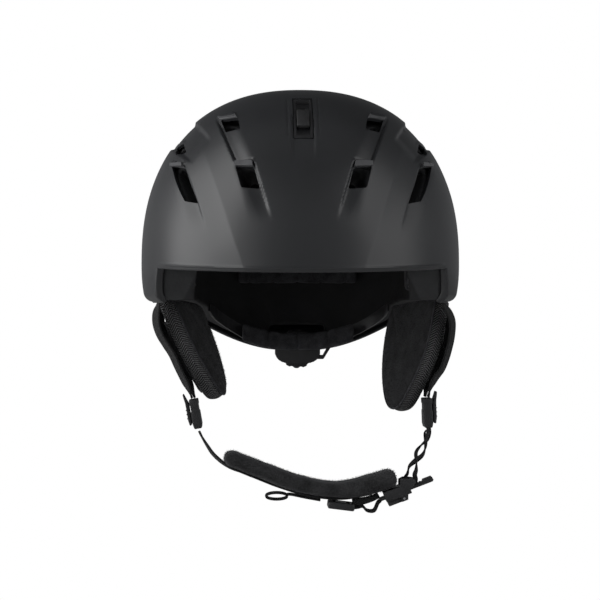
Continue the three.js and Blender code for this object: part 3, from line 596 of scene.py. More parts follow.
def relief(p):
    """How far the shell's skin stands out from the plain dome."""
    x, y, z = np.abs(p[..., 0]), p[..., 1], p[..., 2]
    front, rear = smoothstep(0, 30, -y), 1 - smoothstep(-30, 0, -y)
    # Sunk strip between the two inner vents: a sharp outboard edge and a floor that runs out inboard.
    outboard, along = line_distance(x, z, (57.5, 95), (45.6, 66))
    strip = smoothstep(-0.6, 0.6, -outboard) * (1 - smoothstep(1, 13, -outboard))
    strip = strip * smoothstep(-0.25, 0.05, along) * smoothstep(-0.02, 0.12, 1.12 - along)
    # A fine groove marks the strip's outboard edge; beyond it the dome falls away outwards.
    mark = smoothstep(-0.2, 0.02, along) * (1 - smoothstep(1.45, 1.6, along))
    groove = np.exp(-((outboard + 0.3) / 0.65) ** 2) * mark
    fall = facet(outboard, 1.9, 18, 46) * smoothstep(-0.5, 0.1, along) * (1 - smoothstep(1.3, 2.6, along))
    d = -(2.1 * strip + 0.8 * groove + fall) * front
    # Long crease from the temple to the brow: the outboard side falls away from it.
    outboard, along = line_distance(x, z, (66.5, 70), (39.2, -8))
    d -= facet(outboard, 1.6, 16, 50) * smoothstep(-0.3, 0.2, along) * front
    # Scoops under the lower inner and the lower outer vent.
    d -= scoop(x, z, (34.2, 69), (22.6, 31), 2.4, 0.9, 15, -0.08, 1.12) * front
    d -= scoop(x, z, (82.5, 67.5), (66, 20), 1.5, 1.0, 13, -0.06, 1.0) * front
    # Outer channel that runs back over the temple from the upper outer vents.
    around = np.degrees(np.arctan2(z, x))
    channel = smoothstep(41.2, 42.6, around) * (1 - smoothstep(52.4, 53.8, around))
    d -= 2.0 * channel * smoothstep(-84, -66, y) * (1 - smoothstep(35, 80, y))
    # Raised edges over the vents.
    for a, b, height, reach, where in (
            ((58.6, 102), (46.6, 104.4), 1.2, 5, front), ((46.8, 69), (34, 69), 1.2, 4.5, front),
            ((91.5, 84.5), (84.4, 88.6), 0.9, 4, front), ((92, 70.4), (83, 69.6), 1.0, 4, front),
            ((60.6, 84.4), (39.4, 88.4), 1.4, 7, rear), ((66.6, 46.4), (39.4, 50.4), 1.4, 8, rear)):
        d += hood(x, z, a, b, height, reach) * where
    # Shallow ramps that lead into the rear vents.
    for a, b in (((57, 75), (38, 79)), ((64, 37), (38, 41))):
        below, along = line_distance(x, z, a, b)
        inside = smoothstep(-0.03, 0.06, along) * smoothstep(-0.03, 0.06, 1 - along)
        d -= 1.8 * np.where(below < 0.6, np.clip(1 + below / 15, 0, 1) ** 1.4, 0) * inside * rear
    # Seat of the vent slider: a shallow tongue below it and a fine groove on each side.
    tongue = (1 - smoothstep(6.8, 8.4, x)) * smoothstep(66, 84, z) * (1 - smoothstep(100, 103, z))
    groove = np.exp(-((x - 10.6) / 0.55) ** 2) * smoothstep(84, 87, z) * (1 - smoothstep(112, 116, z))
    d -= (1.2 * tongue + 0.5 * groove) * front
    # The sides turn in at the lower edge, on an 8 mm radius.
    turn = np.clip(-20.5 - z, 0, 7.8) * smoothstep(-75, -66, y) * (1 - smoothstep(40, 90, y))
    d -= 8.0 - np.sqrt(64 - turn ** 2)
    # A fine bead along the brow.
    bead = np.exp(-((z - brow_height(y) - 1.9) / 0.8) ** 2) * (1 - smoothstep(-84, -72, y))
    return d + 0.75 * bead


def make_shell():
    """Columns of points run from the rim to the crown, finer in front, inside and outside."""
    fine, coarse, change, rows, inner_rows, crown = 0.45, 1.5, 84, 236, 40, 89.4
    azimuth = np.concatenate([np.arange(-change, change, fine), np.arange(change, 360 - change, coarse)])
    columns = len(azimuth)
    # The rim's elevation in each column, found by halving.
    low, rim = np.full(columns, -62.0), np.full(columns, 60.0)
    for _ in range(26):
        middle = (low + rim) / 2
        ok = kept(dome_point(DOME, azimuth, middle), 0.2)
        rim = np.where(ok, middle, rim)
        low = np.where(ok, low, middle)
    near_rim = [0, 0.0022, 0.0044, 0.0066, 0.009, 0.0115, 0.0145]
    t = np.concatenate([near_rim, np.linspace(0.018, 1, rows - len(near_rim))])[:, None]
    elevation = rim[None, :] + (crown - rim[None, :]) * t
    base = dome_point(DOME, np.broadcast_to(azimuth, elevation.shape), elevation)
    normal = dome_normal(DOME, base)
    outer = base + normal * relief(base)[..., None]
    # Rolled edge: off the surface, round, inwards by the flange, and back up inside.
    edge, n = outer[0], normal[0]
    off = np.cross(unit(np.roll(edge, -1, axis=0) - np.roll(edge, 1, axis=0)), n)
    off = unit(off * np.sign(np.sum(off * (outer[0] - outer[3]), axis=1))[:, None])
    face = smoothstep(0, 1, np.clip((-edge[:, 1] - 57) / 5, 0, 1))[:, None]
    radius, flange, wall = 1.15, 3.2 * face, 2.2
    roll = []
    for degrees, depth in [(a, 0) for a in (30, 60, 90)] + [(a, flange) for a in (90, 120, 150, 180)]:
        a = math.radians(degrees)
        roll.append(edge - n * (radius * (1 - math.cos(a)) + depth) + off * radius * math.sin(a))
    inner = [roll[-1] - off * 1.2 * face]
    for share in np.linspace(0.012, 1, inner_rows):
        b = dome_point(DOME, azimuth, rim + (crown - rim) * share)
        inner.append(b + dome_normal(DOME, b) * (relief(b) - wall)[..., None])
    top_outer = np.array([0, 0, outer[-1][:, 2].mean() + 0.02])
    top_inner = np.array([0, 0, inner[-1][:, 2].mean()])
    # Rows from the inner pole, down the inside, round the edge and up the outside.
    stack = inner[::-1] + roll[::-1] + list(outer)
    verts = np.concatenate(stack + [top_inner[None], top_outer[None]])
    count = len(stack)
    shell = from_arrays("shell_skin", verts, closed_grid(count, columns))
    track = slide_arc("track_cut", SLIDE_RADIUS - 20, SLIDE_RADIUS + 12, 41, 70, 6.9)
    cut(shell, all_plugs(depth=20) + [track])
    paint(smooth(shell, 40), SHELL)
    ride_as(shell, "helmet", "shell", "outer_shell")


def dome_mesh(name, size):
    columns, rows = 144, 72
    azimuth, elevation = np.meshgrid(np.arange(columns) * 360 / columns, np.linspace(-89.5, 89.5, rows))
    poles = dome_point(size, np.zeros(2), np.array([-90.0, 90.0]))
    verts = np.concatenate([dome_point(size, azimuth, elevation).reshape(-1, 3), poles])
    return from_arrays(name, verts, closed_grid(rows, columns))


def below_edge(name, lift):
    """Everything below the lower edge, as in the CAD model."""
    columns, rings, floor = 120, [4, 60, 110, 170, 220], -300
    top = []
    for r in rings:
        for c in range(columns):
            a = 2 * math.pi * c / columns
            x, y = r * math.sin(a), -r * math.cos(a)
            top.append((x, y, float(edge_height(x, y)) + lift))
    verts = top + [(x, y, floor) for x, y, _ in top[-columns:]] + [(0, 0, SIDE_EDGE_Z + lift), (0, 0, floor)]
    return face_outwards(from_arrays(name, verts, closed_grid(len(rings) + 1, columns)))


def make_liner():
    liner = dome_mesh("foam_liner", {key: value - 5.4 for key, value in DOME.items()})
    back, lift = 2.5, 3
    opening = prism_x("face_cut", [
        (BROW_FRONT[0], BROW_FRONT[1] + lift), (BROW_FRONT[0], -250), (JAW_FRONT_Y + back, -250),
        (JAW_FRONT_Y + back, SIDE_EDGE_Z), (BROW_CORNER[0] + back, BROW_CORNER[1] + lift)], -200, 200)
    pocket = slide_arc("track_pocket", SLIDE_RADIUS - 10, SLIDE_RADIUS + 12, 40, 71, 7.6)
    shutter = slide_arc("shutter_pocket", SLIDE_RADIUS - 17.5, SLIDE_RADIUS + 12, 37, 69, 62)
    dial = block("dial_notch", (-21, 60, -90), (21, 160, -44))
    anchors = []
    for side, m in SIDES:
        for place, y in ANCHOR_Y.items():
            xs = sorted((m * 95, m * 116))
            anchors.append(block(f"anchor_{place}_{side}", (xs[0], y - 10, -40), (xs[1], y + 10, -5)))
    cut(liner, [dome_mesh("cavity", CAVITY), below_edge("lower_cut", 2.4), opening, pocket, shutter, dial]
        + anchors + all_plugs(grow=0.3))
    modify(liner, "REMESH", mode="VOXEL", voxel_size=1.5 * MM)
    bake(modify(liner, "SMOOTH", iterations=4, factor=0.5))
    paint(smooth(liner, 60), FOAM)
    ride_as(liner, "helmet", "foam", "eps_liner")


make_shell()
make_liner()
# A thin plate along the top edge of each front vent, painted pale as a highlight.
for side, m in SIDES:
    for place, corners in HIGHLIGHT_LIPS.items():
        lip = vent_plug(f"vent_lip_highlight_{place}_{side}", corners, -1, m, depth=1.6, radius=0.5, above=0.9)
        paint(smooth(bevel(lip, 0.35), 40), LIP_HIGHLIGHT)
        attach(lip, "helmet")


# ---------- soft goods ----------
def inflate(obj, pinned, pressure, cap):
    """Cloth under pressure swells between its pinned seams; no point moves more than cap millimetres."""
    before = vertex_values(obj)
    group = obj.vertex_groups.new(name="seams")
    group.add([int(i) for i in pinned], 1.0, "REPLACE")
    cloth = obj.modifiers.new("cloth", "CLOTH")
    settings = cloth.settings
    settings.quality = 5
    settings.mass = 0.25
    settings.tension_stiffness = settings.compression_stiffness = 12
    settings.bending_stiffness = 0.4
    settings.use_pressure = True
    settings.uniform_pressure_force = pressure
    settings.vertex_group_mass = "seams"
    settings.effector_weights.gravity = 0
    cloth.collision_settings.use_collision = False
    cloth.collision_settings.use_self_collision = False
    for frame_number in range(1, 21):
        scene.frame_set(frame_number)
    bake(obj)
    move = vertex_values(obj) - before
    far = np.linalg.norm(move, axis=1)
    move *= np.minimum(1, cap * MM / np.maximum(far, 1e-9))[:, None]
    set_vertices(obj, before + move)
    obj.vertex_groups.clear()
    scene.frame_set(1)


def subdivide(obj):
    return bake(modify(obj, "SUBSURF", levels=1, render_levels=1))


def fuzz(name, obj, count, length, seed, mat, keep=lambda face: True):
    """Short fibres that stand on a piece's cloth, on the faces to keep."""
    rng = np.random.default_rng(seed)
    mesh = obj.data
    mesh.calc_loop_triangles()
    tris = np.array([t.vertices for t in mesh.loop_triangles if keep(mesh.polygons[t.polygon_index])])
    a, b, c = (vertex_values(obj)[tris[:, k]] for k in range(3))
    cross = np.cross(b - a, c - a)
    area = np.linalg.norm(cross, axis=1)
    pick = rng.choice(len(tris), count, p=area / area.sum())
    u, v = rng.random(count), rng.random(count)
    flip = u + v > 1
    u[flip], v[flip] = 1 - u[flip], 1 - v[flip]
    root = a[pick] + (b[pick] - a[pick]) * u[:, None] + (c[pick] - a[pick]) * v[:, None]
    normal = cross[pick] / area[pick][:, None]
    lean = unit(normal + rng.normal(0, 0.5, (count, 3)))
    side = unit(np.cross(lean, rng.normal(0, 1, (count, 3)))) * 0.075
    reach = length * (0.5 + rng.random(count))[:, None]
    root, bend = root / MM, rng.normal(0, 0.25, (count, 3)) * length
    foot, waist = root - normal * 0.2, root + lean * reach * 0.55
    fibre = [foot - side, foot + side, waist + side * 0.7, waist - side * 0.7, root + lean * reach + bend]
    faces = []
    for o in range(0, 5 * count, 5):
        faces += [(o, o + 1, o + 2, o + 3), (o + 3, o + 2, o + 4)]
    return paint(from_arrays(name, np.stack(fibre, axis=1).reshape(-1, 3), faces), mat)


def tube(name, path, radius, closed):
    """A round cord along a path of points, in millimetres."""
    p, sides = np.asarray(path, float), 8
    tangent = unit(np.roll(p, -1, axis=0) - np.roll(p, 1, axis=0) if closed else np.gradient(p, axis=0))
    normal = np.cross(tangent[0], [0.3, 0.2, 0.93])
    verts = []
    for point, t in zip(p, tangent):
        normal = unit(normal - t * np.dot(normal, t))
        other = np.cross(t, normal)
        for k in range(sides):
            a = 2 * math.pi * k / sides
            verts.append(point + radius * (math.cos(a) * normal + math.sin(a) * other))
    faces = grid_faces(len(p), sides, flip=True)
    if closed:
        last = (len(p) - 1) * sides
        faces += [(last + c, c, (c + 1) % sides, last + (c + 1) % sides) for c in range(sides)]
    else:
        faces += end_caps(len(p), sides)
    return paint(from_arrays(name, verts, faces), LINING)


def band(name, points, thickness, width, steps=60, twist=0):
    """Webbing along a path: a flat band with round edges, its width along Y turned by twist degrees."""
    path, tangent, length = catmull(points, steps)
    share = np.linspace(0, 1, steps)
    value = lambda v: np.array([v(t) for t in share]) if callable(v) else np.full(steps, float(v))
    thick, wide, turn = value(thickness) / 2, value(width) / 2, np.radians(value(twist))
    top = [(x, 1.0) for x in np.linspace(-0.93, 0.93, 9)]
    bottom = [(x, -1.0) for x in np.linspace(0.93, -0.93, 9)]
    ring = top + [(1.0, 0.45), (1.0, -0.45)] + bottom + [(-1.0, -0.45), (-1.0, 0.45)]
    verts, uvs = [], []
    for i in range(steps):
        n = unit(np.cross(ACROSS, tangent[i]))
        w = ACROSS * math.cos(turn[i]) + n * math.sin(turn[i])
        n = unit(np.cross(w, tangent[i]))
        for x, z in ring:
            verts.append(path[i] + w * wide[i] * x + n * thick[i] * z)
            uvs.append((share[i] * length, x * wide[i] + (0 if z > 0 else 40)))
    faces = grid_faces(steps, len(ring), flip=True) + end_caps(steps, len(ring))
    return paint(face_outwards(from_arrays(name, verts, faces, 50, uvs)), WEBBING)


def placed(points, side, m):
    """From an ear pad's own frame to the helmet's."""
    ear = EAR[side]
    tilt = Matrix.Rotation(math.radians(m * ear["tilt"]), 3, "Y")
    turn = tilt @ Matrix.Rotation(math.radians(m * ear["yaw"]), 3, "Z")
    p = (np.asarray(points, float) + (0, 0, ear["rise"])) @ np.array(turn).T
    return p + np.array([ear["x"], ear["y"], EAR_HINGE_Z])


def under_liner(p, side, m):
    """The pad's top is level outside the hinge line, falls away inwards, and rounds over at the liner."""
    inward = np.maximum(0, -m * (p[:, 0] - EAR[side]["x"]))
    roof = EAR_HINGE_Z + 3.8 - inward * math.tan(math.radians(EAR_FOLD + 1))
    over = p[:, 2] - roof
    p = p.copy()
    p[:, 2] = roof - 1.2 * np.logaddexp(0, -over / 1.2) + 0.005 * np.maximum(0, over)
    return p


def bezier(p0, p1, p2, p3, n):
    t = np.linspace(0, 1, n, endpoint=False)[:, None]
    p0, p1, p2, p3 = (np.asarray(p, float) for p in (p0, p1, p2, p3))
    return (1 - t) ** 3 * p0 + 3 * (1 - t) ** 2 * t * p1 + 3 * (1 - t) * t ** 2 * p2 + t ** 3 * p3


def ear_outline(samples):
    """The pad's outline in (y, z), evenly spaced, and its length."""
    top = 13.5
    raw = np.concatenate([
        np.linspace((-37, top), (36, top), 24, endpoint=False),
        np.linspace((36, top), (36, 0), 8, endpoint=False),
        bezier((36, 0), (40, -22), (35, -48), (16, -65.5), 40),
        bezier((16, -65.5), (7, -74.5), (-10, -74.5), (-17, -62), 30),
        bezier((-17, -62), (-30, -44), (-42, -26), (-37, 0), 40),
        np.linspace((-37, 0), (-37, top), 8, endpoint=False)])
    even, length = resample(np.vstack([raw, raw[:1]]), samples, endpoint=False)
    for _ in range(3):
        even = 0.5 * even + 0.25 * (np.roll(even, 1, axis=0) + np.roll(even, -1, axis=0))
    even[:, 1] = np.where(even[:, 1] < 0, even[:, 1] * 1.03, even[:, 1])
    return even + np.array([0, -1.0]), length


def make_ear_pad(side, m):
    around, half, inner, body = 132, EAR_THICKNESS / 2, -m, f"ear_{side}"
    outline, length = ear_outline(around)
    centre = np.array([-1.0, -31.0])
    plump = 3.4 if side == "left" else 0.9
    # (share of the outline, place across the thickness, part): the cheek face, the knitted side, the back.
    rings = [(f, inner * (half - 0.4 - 0.2 * f + plump * (1 - f ** 2.2)), "face")
             for f in (0.05, 0.18, 0.32, 0.46, 0.6, 0.72, 0.82, 0.89)]
    rings += [(0.935, inner * (half - 1.3), "face"), (0.962, inner * (half - 2.6), "seam")]
    rings += [(0.965 + 0.03 * math.sin(math.pi * k / 8), inner * x, "knit")
              for k, x in enumerate(np.linspace(half - 3.1, -half + 2.2, 9))]
    rings += [(0.95, -inner * (half - 1.2), "seam"), (0.9, -inner * (half - 0.4), "back")]
    rings += [(f, -inner * (half - 0.3), "back") for f in (0.7, 0.45, 0.2, 0.05)]
    verts, uvs = [], []
    for f, x, part in rings:
        for k, q in enumerate(outline):
            verts.append((x, *(centre + (q - centre) * f)))
            uvs.append((length * k / around, x))
    count = len(rings)
    verts += [(rings[0][1], *centre), (rings[-1][1], *centre)]
    uvs += [(0, 0), (0, 0)]
    kinds = []
    for here, after in zip(rings, rings[1:]):
        pair = (here[2], after[2])
        kinds += [1 if "knit" in pair else 2 if "back" in pair else 0] * around
    kinds += [0] * around + [2] * around
    shape = under_liner(placed(verts, side, m), side, m)
    pad = from_arrays(f"ear_cushion_{side}", shape, closed_grid(count, around), None, uvs)
    paint(pad, PLUSH, KNIT, LINING)
    pad.data.polygons.foreach_set("material_index", kinds)
    face_outwards(pad)
    pinned = [r * around + k for r, ring in enumerate(rings) if ring[2] != "face" for k in range(around)]
    inflate(pad, pinned + [count * around + 1], pressure=3.0, cap=2.6)
    ride_as(smooth(subdivide(pad)), body, "ear_cloth", f"ear_pad_{side}")
    seam = [(inner * (half - 2.5), *(centre + (q - centre) * 0.972)) for q in outline]
    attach(tube(f"ear_piping_{side}", under_liner(placed(seam, side, m), side, m), 0.75, True), body)
    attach(fuzz(f"ear_pile_{side}", pad, 5200, 0.75, 11 + m, PLUSH, lambda f: f.material_index == 0), body)


def make_chin_pad():
    """The fleece sleeve over the chin webbing: a plump tube with a seam along each edge."""
    steps, around = 56, 40
    line = PAD_LINE[:-1] + [(68.6, -151.6)]
    path, tangent, _ = catmull([(x, STRAP_Y, z) for x, z in line], steps)
    rng = np.random.default_rng(3)
    lumps = np.convolve(rng.normal(0, 1, steps + 8), np.ones(9) / 9, "valid")
    verts = []
    for i in range(steps):
        t = i / (steps - 1)
        taper = math.sqrt(min(1.0, min(t, 1 - t) / 0.035 + 0.18))
        fuller = 0.93 + 0.1 * lumps[i] + 0.22 * float(smoothstep(0.6, 0.92, t))
        thick = CHIN_PAD["thickness"] / 2 * taper * fuller
        wide = CHIN_PAD["width"] / 2 * (0.9 + 0.1 * taper)
        n = np.cross(ACROSS, tangent[i])
        for k in range(around):
            c, s = math.cos(2 * math.pi * k / around), math.sin(2 * math.pi * k / around)
            y = wide * math.copysign(abs(c) ** 0.62, c)
            h = thick * math.copysign(abs(s) ** 0.8, s)
            verts.append(path[i] + ACROSS * y + n * h)
    pad = from_arrays("chin_cushion", verts, grid_faces(steps, around) + end_caps(steps, around))
    face_outwards(pad)
    # Held along both seams, at both ends, and in three short stretches underneath.
    pinned = [i * around + k for i in range(steps) for k in range(around)
              if k in (0, around // 2) or i in (0, steps - 1) or (i in (14, 28, 42) and 24 <= k <= 36)]
    inflate(pad, pinned, pressure=3.5, cap=1.6)
    paint(smooth(subdivide(pad)), FLEECE)
    ride_as(pad, "chin_strap", "chin_cloth", "chin_pad")
    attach(fuzz("chin_pile", pad, 7500, 1.0, 5, FLEECE), "chin_strap")
    for name, y in (("front", -1), ("rear", 1)):
        edge = [p + ACROSS * y * (CHIN_PAD["width"] / 2 - 0.9) for p in path[2:-2]]
        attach(tube(f"chin_seam_{name}", edge, 0.7, False), "chin_strap")


def soft_from_node(node, axis, spacing, voxel=2.6, shrink=0.7):
    """A lining pad in its CAD solid's place: swollen a little, with channels sewn across an axis."""
    obj = link(f"{node}_soft", nodes[node].data.copy())
    modify(obj, "REMESH", mode="VOXEL", voxel_size=voxel * MM)
    bake(modify(obj, "SMOOTH", iterations=7, factor=0.6))
    co = vertex_values(obj)
    reach = np.linalg.norm(co - co.mean(axis=0), axis=1)
    inflate(obj, np.argsort(-reach)[:max(6, len(co) // 60)], pressure=2.5, cap=1.2)
    subdivide(obj)
    co, normal = vertex_values(obj) / MM, vertex_values(obj, "normal")
    off_seam = np.abs((co[:, axis] / spacing + 0.5) % 1 - 0.5) * spacing
    sunk = shrink + 0.9 * np.exp(-(off_seam / 1.1) ** 2)
    set_vertices(obj, (co - normal * sunk[:, None]) * MM)
    paint(smooth(obj), LINING)
    ride_as(obj, "helmet", "pad_cloth", node)


for side, m in SIDES:
    make_ear_pad(side, m)
make_chin_pad()
for node, axis, spacing in (("brow_pad", 0, 20), ("crown_pad", 1, 18), ("rear_pad", 0, 18),
                            ("side_pad_left", 1, 17), ("side_pad_right", 1, 17)):
    soft_from_node(node, axis, spacing)
soft_from_node("nape_pad", 0, 22, voxel=1.8, shrink=0.4)


# ---------- webbing ----------
def half_top(length):
    """Width of a webbing whose upper end is half round."""
    def width(t):
        s = t * length
        return 16 if s >= 8 else max(1.5, 2 * math.sqrt(max(0.4, 64 - (8 - s) ** 2)))
    return width


def at_strap(*points):
    """Points given as (x, z), in the plane that the chin straps lie in."""
    return [(x, STRAP_Y, z) for x, z in points]


for side, m in SIDES:
    line = WEBBING_LINE[side]
    end_z = line[-1][1]
    for place, gap, outward, lean in (("front", -3, 0.9, -20), ("rear", 6, -0.9, 26)):
        anchor, end_y, lean = ANCHOR_Y[place], STRAP_Y + gap, m * lean
        points = []
        for x, z in line:
            t = max(0.0, (z + 28) / (end_z + 28))
            points.append((x + m * outward * t, anchor + (end_y - anchor) * t, z))
        twist = lambda t: lean * float(smoothstep(0.12, 0.3, t) * (1 - smoothstep(0.86, 1.0, t)))
        strap = band(f"side_strap_{place}_{side}", points, 1.4, lambda t: 15.6 - 3.8 * t, 90, twist)
        ride_as(strap, "helmet", "webbing", f"{place}_webbing_{side}")

pad_path, pad_tangent, _ = catmull(at_strap(*PAD_LINE), 200)


def under_pad(t, distance):
    """A point at a share of the chin pad's line, a distance below it."""
    i = min(199, int(round(t * 199)))
    tx, _, tz = pad_tangent[i]
    return tuple(pad_path[i] - np.array((-tz, 0, tx)) * distance)


WEB_DROP = CHIN_PAD["thickness"] / 2 + 0.2
TAIL_DROP = WEB_DROP + 2.2
left_chin = at_strap((-72.6, SWING_Z + 8), (-70.4, -123.4), (-67, -129), (-61.9, -136.2))
left_chin += [under_pad(t, WEB_DROP) for t in (0.05, 0.2, 0.34, 0.48, 0.6, 0.72, 0.86)]
strap = band("chin_strap_left", left_chin, 1.6, half_top(155), 130,
             lambda t: 8 * math.sin(math.pi * min(1.0, t / 0.36)))
ride_as(strap, "chin_strap", "webbing", "chin_webbing_left")

LOOP = {"x": -17, "z": -165.6, "length": 7.65, "height": 2.35, "width": 11.6}
loop_path = []
for k in range(15):
    a = math.radians(-18 - k * 324 / 14)
    across, up = LOOP["length"] * math.cos(a), LOOP["height"] * math.sin(a)
    loop_path += at_strap((LOOP["x"] + across, LOOP["z"] + up))
tail = at_strap((LOOP["x"] + LOOP["length"] - 0.05, LOOP["z"] + 0.9))
tail += [under_pad(0.42, TAIL_DROP + 0.6), under_pad(0.5, TAIL_DROP), under_pad(0.59, TAIL_DROP)]
strap = band("pull_tab", loop_path[::-1] + tail, 1.5, LOOP["width"], 110)
ride_as(strap, "chin_strap", "webbing", "pull_loop")

lower = at_strap((38.2, -174), (41.2, -173.6), (44.4, -173), (47.6, -176), (52.6, -176.2), (55.6, -170.6),
                 (57.4, -168.8))
upper = at_strap((37.4, -170.4), (42, -169.8), (47, -168.8), (52, -167.2), (56.2, -165.2))
strap = band("tongue_strap", lower, 1.7, 15.8)
fold = band("tongue_strap_fold", upper, lambda t: 4.8 - 1.8 * t, 15.2, 40)
ride_as(fold, "chin_strap", "webbing")
ride_as(strap, "chin_strap", "webbing", "tongue_webbing")


def shifted(points, offsets):
    """The path moved sideways in its own plane, by one offset a point."""
    p = np.asarray(points, float)
    along = unit(np.gradient(p, axis=0))
    side = np.stack([-along[:, 1], along[:, 0]], axis=1)
    return p + side * np.asarray(offsets, float)[:, None]


def round_end(t):
    return math.sqrt(min(1.0, max(0.06, 1 - max(0.0, 1 - t / 0.08) ** 2)))


# Two narrow webbings run from the right divider to the buckle's bars and cross each other on the way.
# The rear one's upper end is round and stays below the divider.
CROSSED = [(91.4, -111), (90.9, -116.5), (90.7, -120.6), (90.2, -125.7), (88, -130.6), (85.3, -135.5),
           (83, -140.7), (80.6, -146)]
CROSSED_GAPS = [0.5, 0.9, 1.1, 0, -2.2, -2.8, 0, 2.4]
CROSSED_WIDTH = 7.4
front_route = shifted(CROSSED, CROSSED_GAPS).tolist()
front_route += [(81.8, -150.4), (82.3, -153.6), (81.4, -156.6), (79, -157.2), (77.6, -155)]
rear_route = [(90.9, -119)] + shifted(CROSSED, [-gap for gap in CROSSED_GAPS]).tolist()[2:]
rear_route += [(77, -150.2), (75.4, -153), (75.2, -156), (73, -157.3), (71.2, -155.6)]
for place, route, sign, width in (("front", front_route, 1, CROSSED_WIDTH),
                                  ("rear", rear_route, -1, lambda t: CROSSED_WIDTH * round_end(t))):
    strap = band(f"crossed_strap_{place}", [(x, STRAP_Y - 4 * sign, z) for x, z in route], 1.3, width, 110,
                 lambda t: sign * 16 * math.sin(3 * math.pi * t))
    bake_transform(strap)
    if place == "front":
        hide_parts("chin_webbing_right")


# ---------- hard pieces ----------
def prism_y(name, outline, half, mat, width):
    """An outline in (x, z) carried half of its depth to each side, with its edges broken."""
    verts = [(x, y, z) for y in (-half, half) for x, z in outline]
    obj = face_outwards(from_arrays(name, verts, prism_faces(len(outline))))
    return paint(smooth(bake(bevel(obj, width, 30)), 40), mat)


def refine(node, body, mat, width, flat=2.0):
    """The node's own solid with its edges rounded."""
    obj = link(f"{node}_body", nodes[node].data.copy())
    b = bmesh.new()
    b.from_mesh(obj.data)
    bmesh.ops.remove_doubles(b, verts=b.verts, dist=2e-6)
    bmesh.ops.dissolve_limit(b, angle_limit=math.radians(flat), verts=b.verts, edges=b.edges)
    b.to_mesh(obj.data)
    b.free()
    paint(smooth(bake(bevel(obj, width, 32)), 40), mat)
    return ride_as(obj, body, "rubber" if mat is RUBBER else "dark_plastic", node)


def keep_node(node, mat, width):
    """A CAD solid whose shape is already right."""
    bevel(paint(nodes[node], mat), width, 32, harden_normals=True)


for side, m in SIDES:
    # Each divider leans with the webbing above it, and is drawn upright about the middle of its top.
    x, z = DIVIDER_TOP[side]
    place = Matrix.Translation((x * MM, STRAP_Y * MM, z * MM))
    place = place @ Matrix.Rotation(math.radians(-DIVIDER_LEAN[side]), 4, "Y")
    half_outline = [(3.3, 0), (3.3, -3.4), (2.9, -4.2), (2.9, -8.2), (3.3, -9), (3.3, -18), (2.6, -21)]
    outline = half_outline + [(-x, z) for x, z in half_outline[::-1]]
    body = prism_y(f"divider_{side}_body", outline, 12, PLASTIC, 0.6)
    slots = ((-9.8, -1.2), (1.2, 9.8))
    cut(body, [block(f"slot_{side}_{k}", (-1.6, lo, -30), (1.6, hi, 5)) for k, (lo, hi) in enumerate(slots)])
    paint(smooth(body, 40), PLASTIC)
    lever = [(3.85, -17.4), (4.5, -18), (5.6, -18), (6.2, -14), (6.1, -6), (6.2, -1.5), (6.7, 1.8),
             (7.0, 4.6), (6.3, 4.6), (5.4, 1.8), (4.3, -1), (3.8, -3), (3.75, -6)]
    lever = prism_y(f"divider_lever_{side}_body", [(m * x, z) for x, z in lever], 9.5, TEXTURED, 0.45)
    ribs = []
    for k, z in enumerate((-7, -10, -13)):
        rib = [(5.9, z - 0.6), (6.7, z - 0.2), (6.7, z + 0.2), (5.9, z + 0.6)]
        ribs.append(prism_y(f"divider_rib_{side}_{k}", [(m * x, z) for x, z in rib], 7.5, TEXTURED, 0.15))
    for obj in (body, lever, *ribs):
        obj.data.transform(place)
        obj.data.update()
    ride_as(body, "helmet", "dark_plastic", f"divider_{side}")
    ride_as(lever, f"lever_{side}", "dark_plastic", f"divider_lever_{side}")
    for rib in ribs:
        ride_as(rib, f"lever_{side}", "dark_plastic")

for node, body, mat, width in (
        ("strap_adjuster", "chin_strap", PLASTIC, 0.5), ("buckle_housing", "buckle", PLASTIC, 0.35),
        ("release_lever", "release", TEXTURED, 0.35), ("ratchet_tongue", "chin_strap", PLASTIC, 0.25),
        ("dial_housing", "helmet", PLASTIC, 0.8), ("dial_knob", "fit_dial", RUBBER, 0.7),
        ("goggle_clip_base", "helmet", PLASTIC, 0.6), ("goggle_clip_strap", "goggle_clip", RUBBER, 0.4),
        ("vent_slider_track", "helmet", PLASTIC, 0.45), ("vent_slider_button", "vent_slider", RUBBER, 0.8)):
    refine(node, body, mat, width)
refine("vent_shutter", "vent_slider", PLASTIC, 0.3, flat=0.3)
for side, m in SIDES:
    keep_node(f"ear_plate_{side}", PLASTIC, 0.4)
    for place in ANCHOR_Y:
        keep_node(f"strap_anchor_{place}_{side}", STEEL, 0.4)
# The right belt leaves the dial low down, and its arm rises close beside the housing.
belt = refine("fit_belt_right", "belt_right", PLASTIC, 0.2)
for vertex in belt.data.vertices:
    x = vertex.co.x / MM
    vertex.co.z += 9 * MM * float(smoothstep(19, 26, x) * (1 - smoothstep(26, 36, x)))
belt.data.update()
for node, mat, width in (("fit_belt_left", PLASTIC, 0.2), ("dial_pinion", PLASTIC, 0.1),
                         ("lever_pin", STEEL, 0.15), ("goggle_clip_pin", STEEL, 0.15)):
    keep_node(node, mat, width)


# ---------- camera, light and floor ----------
VIEW_DISTANCE = 1.8
VIEW_YAW = math.radians(1.3)
VIEW_HEIGHT = -0.0253
FRAME_WIDTH = 0.4329
AMBIENT = 0.3
FLOOR_Z, FLOOR_REACH = -260, 9000
camera_data = bpy.data.cameras.new("camera")
camera_data.sensor_width = 36
camera_data.lens = camera_data.sensor_width * VIEW_DISTANCE / FRAME_WIDTH
camera_data.clip_end = 50
camera = link("camera", camera_data)
camera.location = (-VIEW_DISTANCE * math.sin(VIEW_YAW), -VIEW_DISTANCE * math.cos(VIEW_YAW), VIEW_HEIGHT)
camera.rotation_euler = (math.radians(90), 0, -VIEW_YAW)
scene.camera = camera


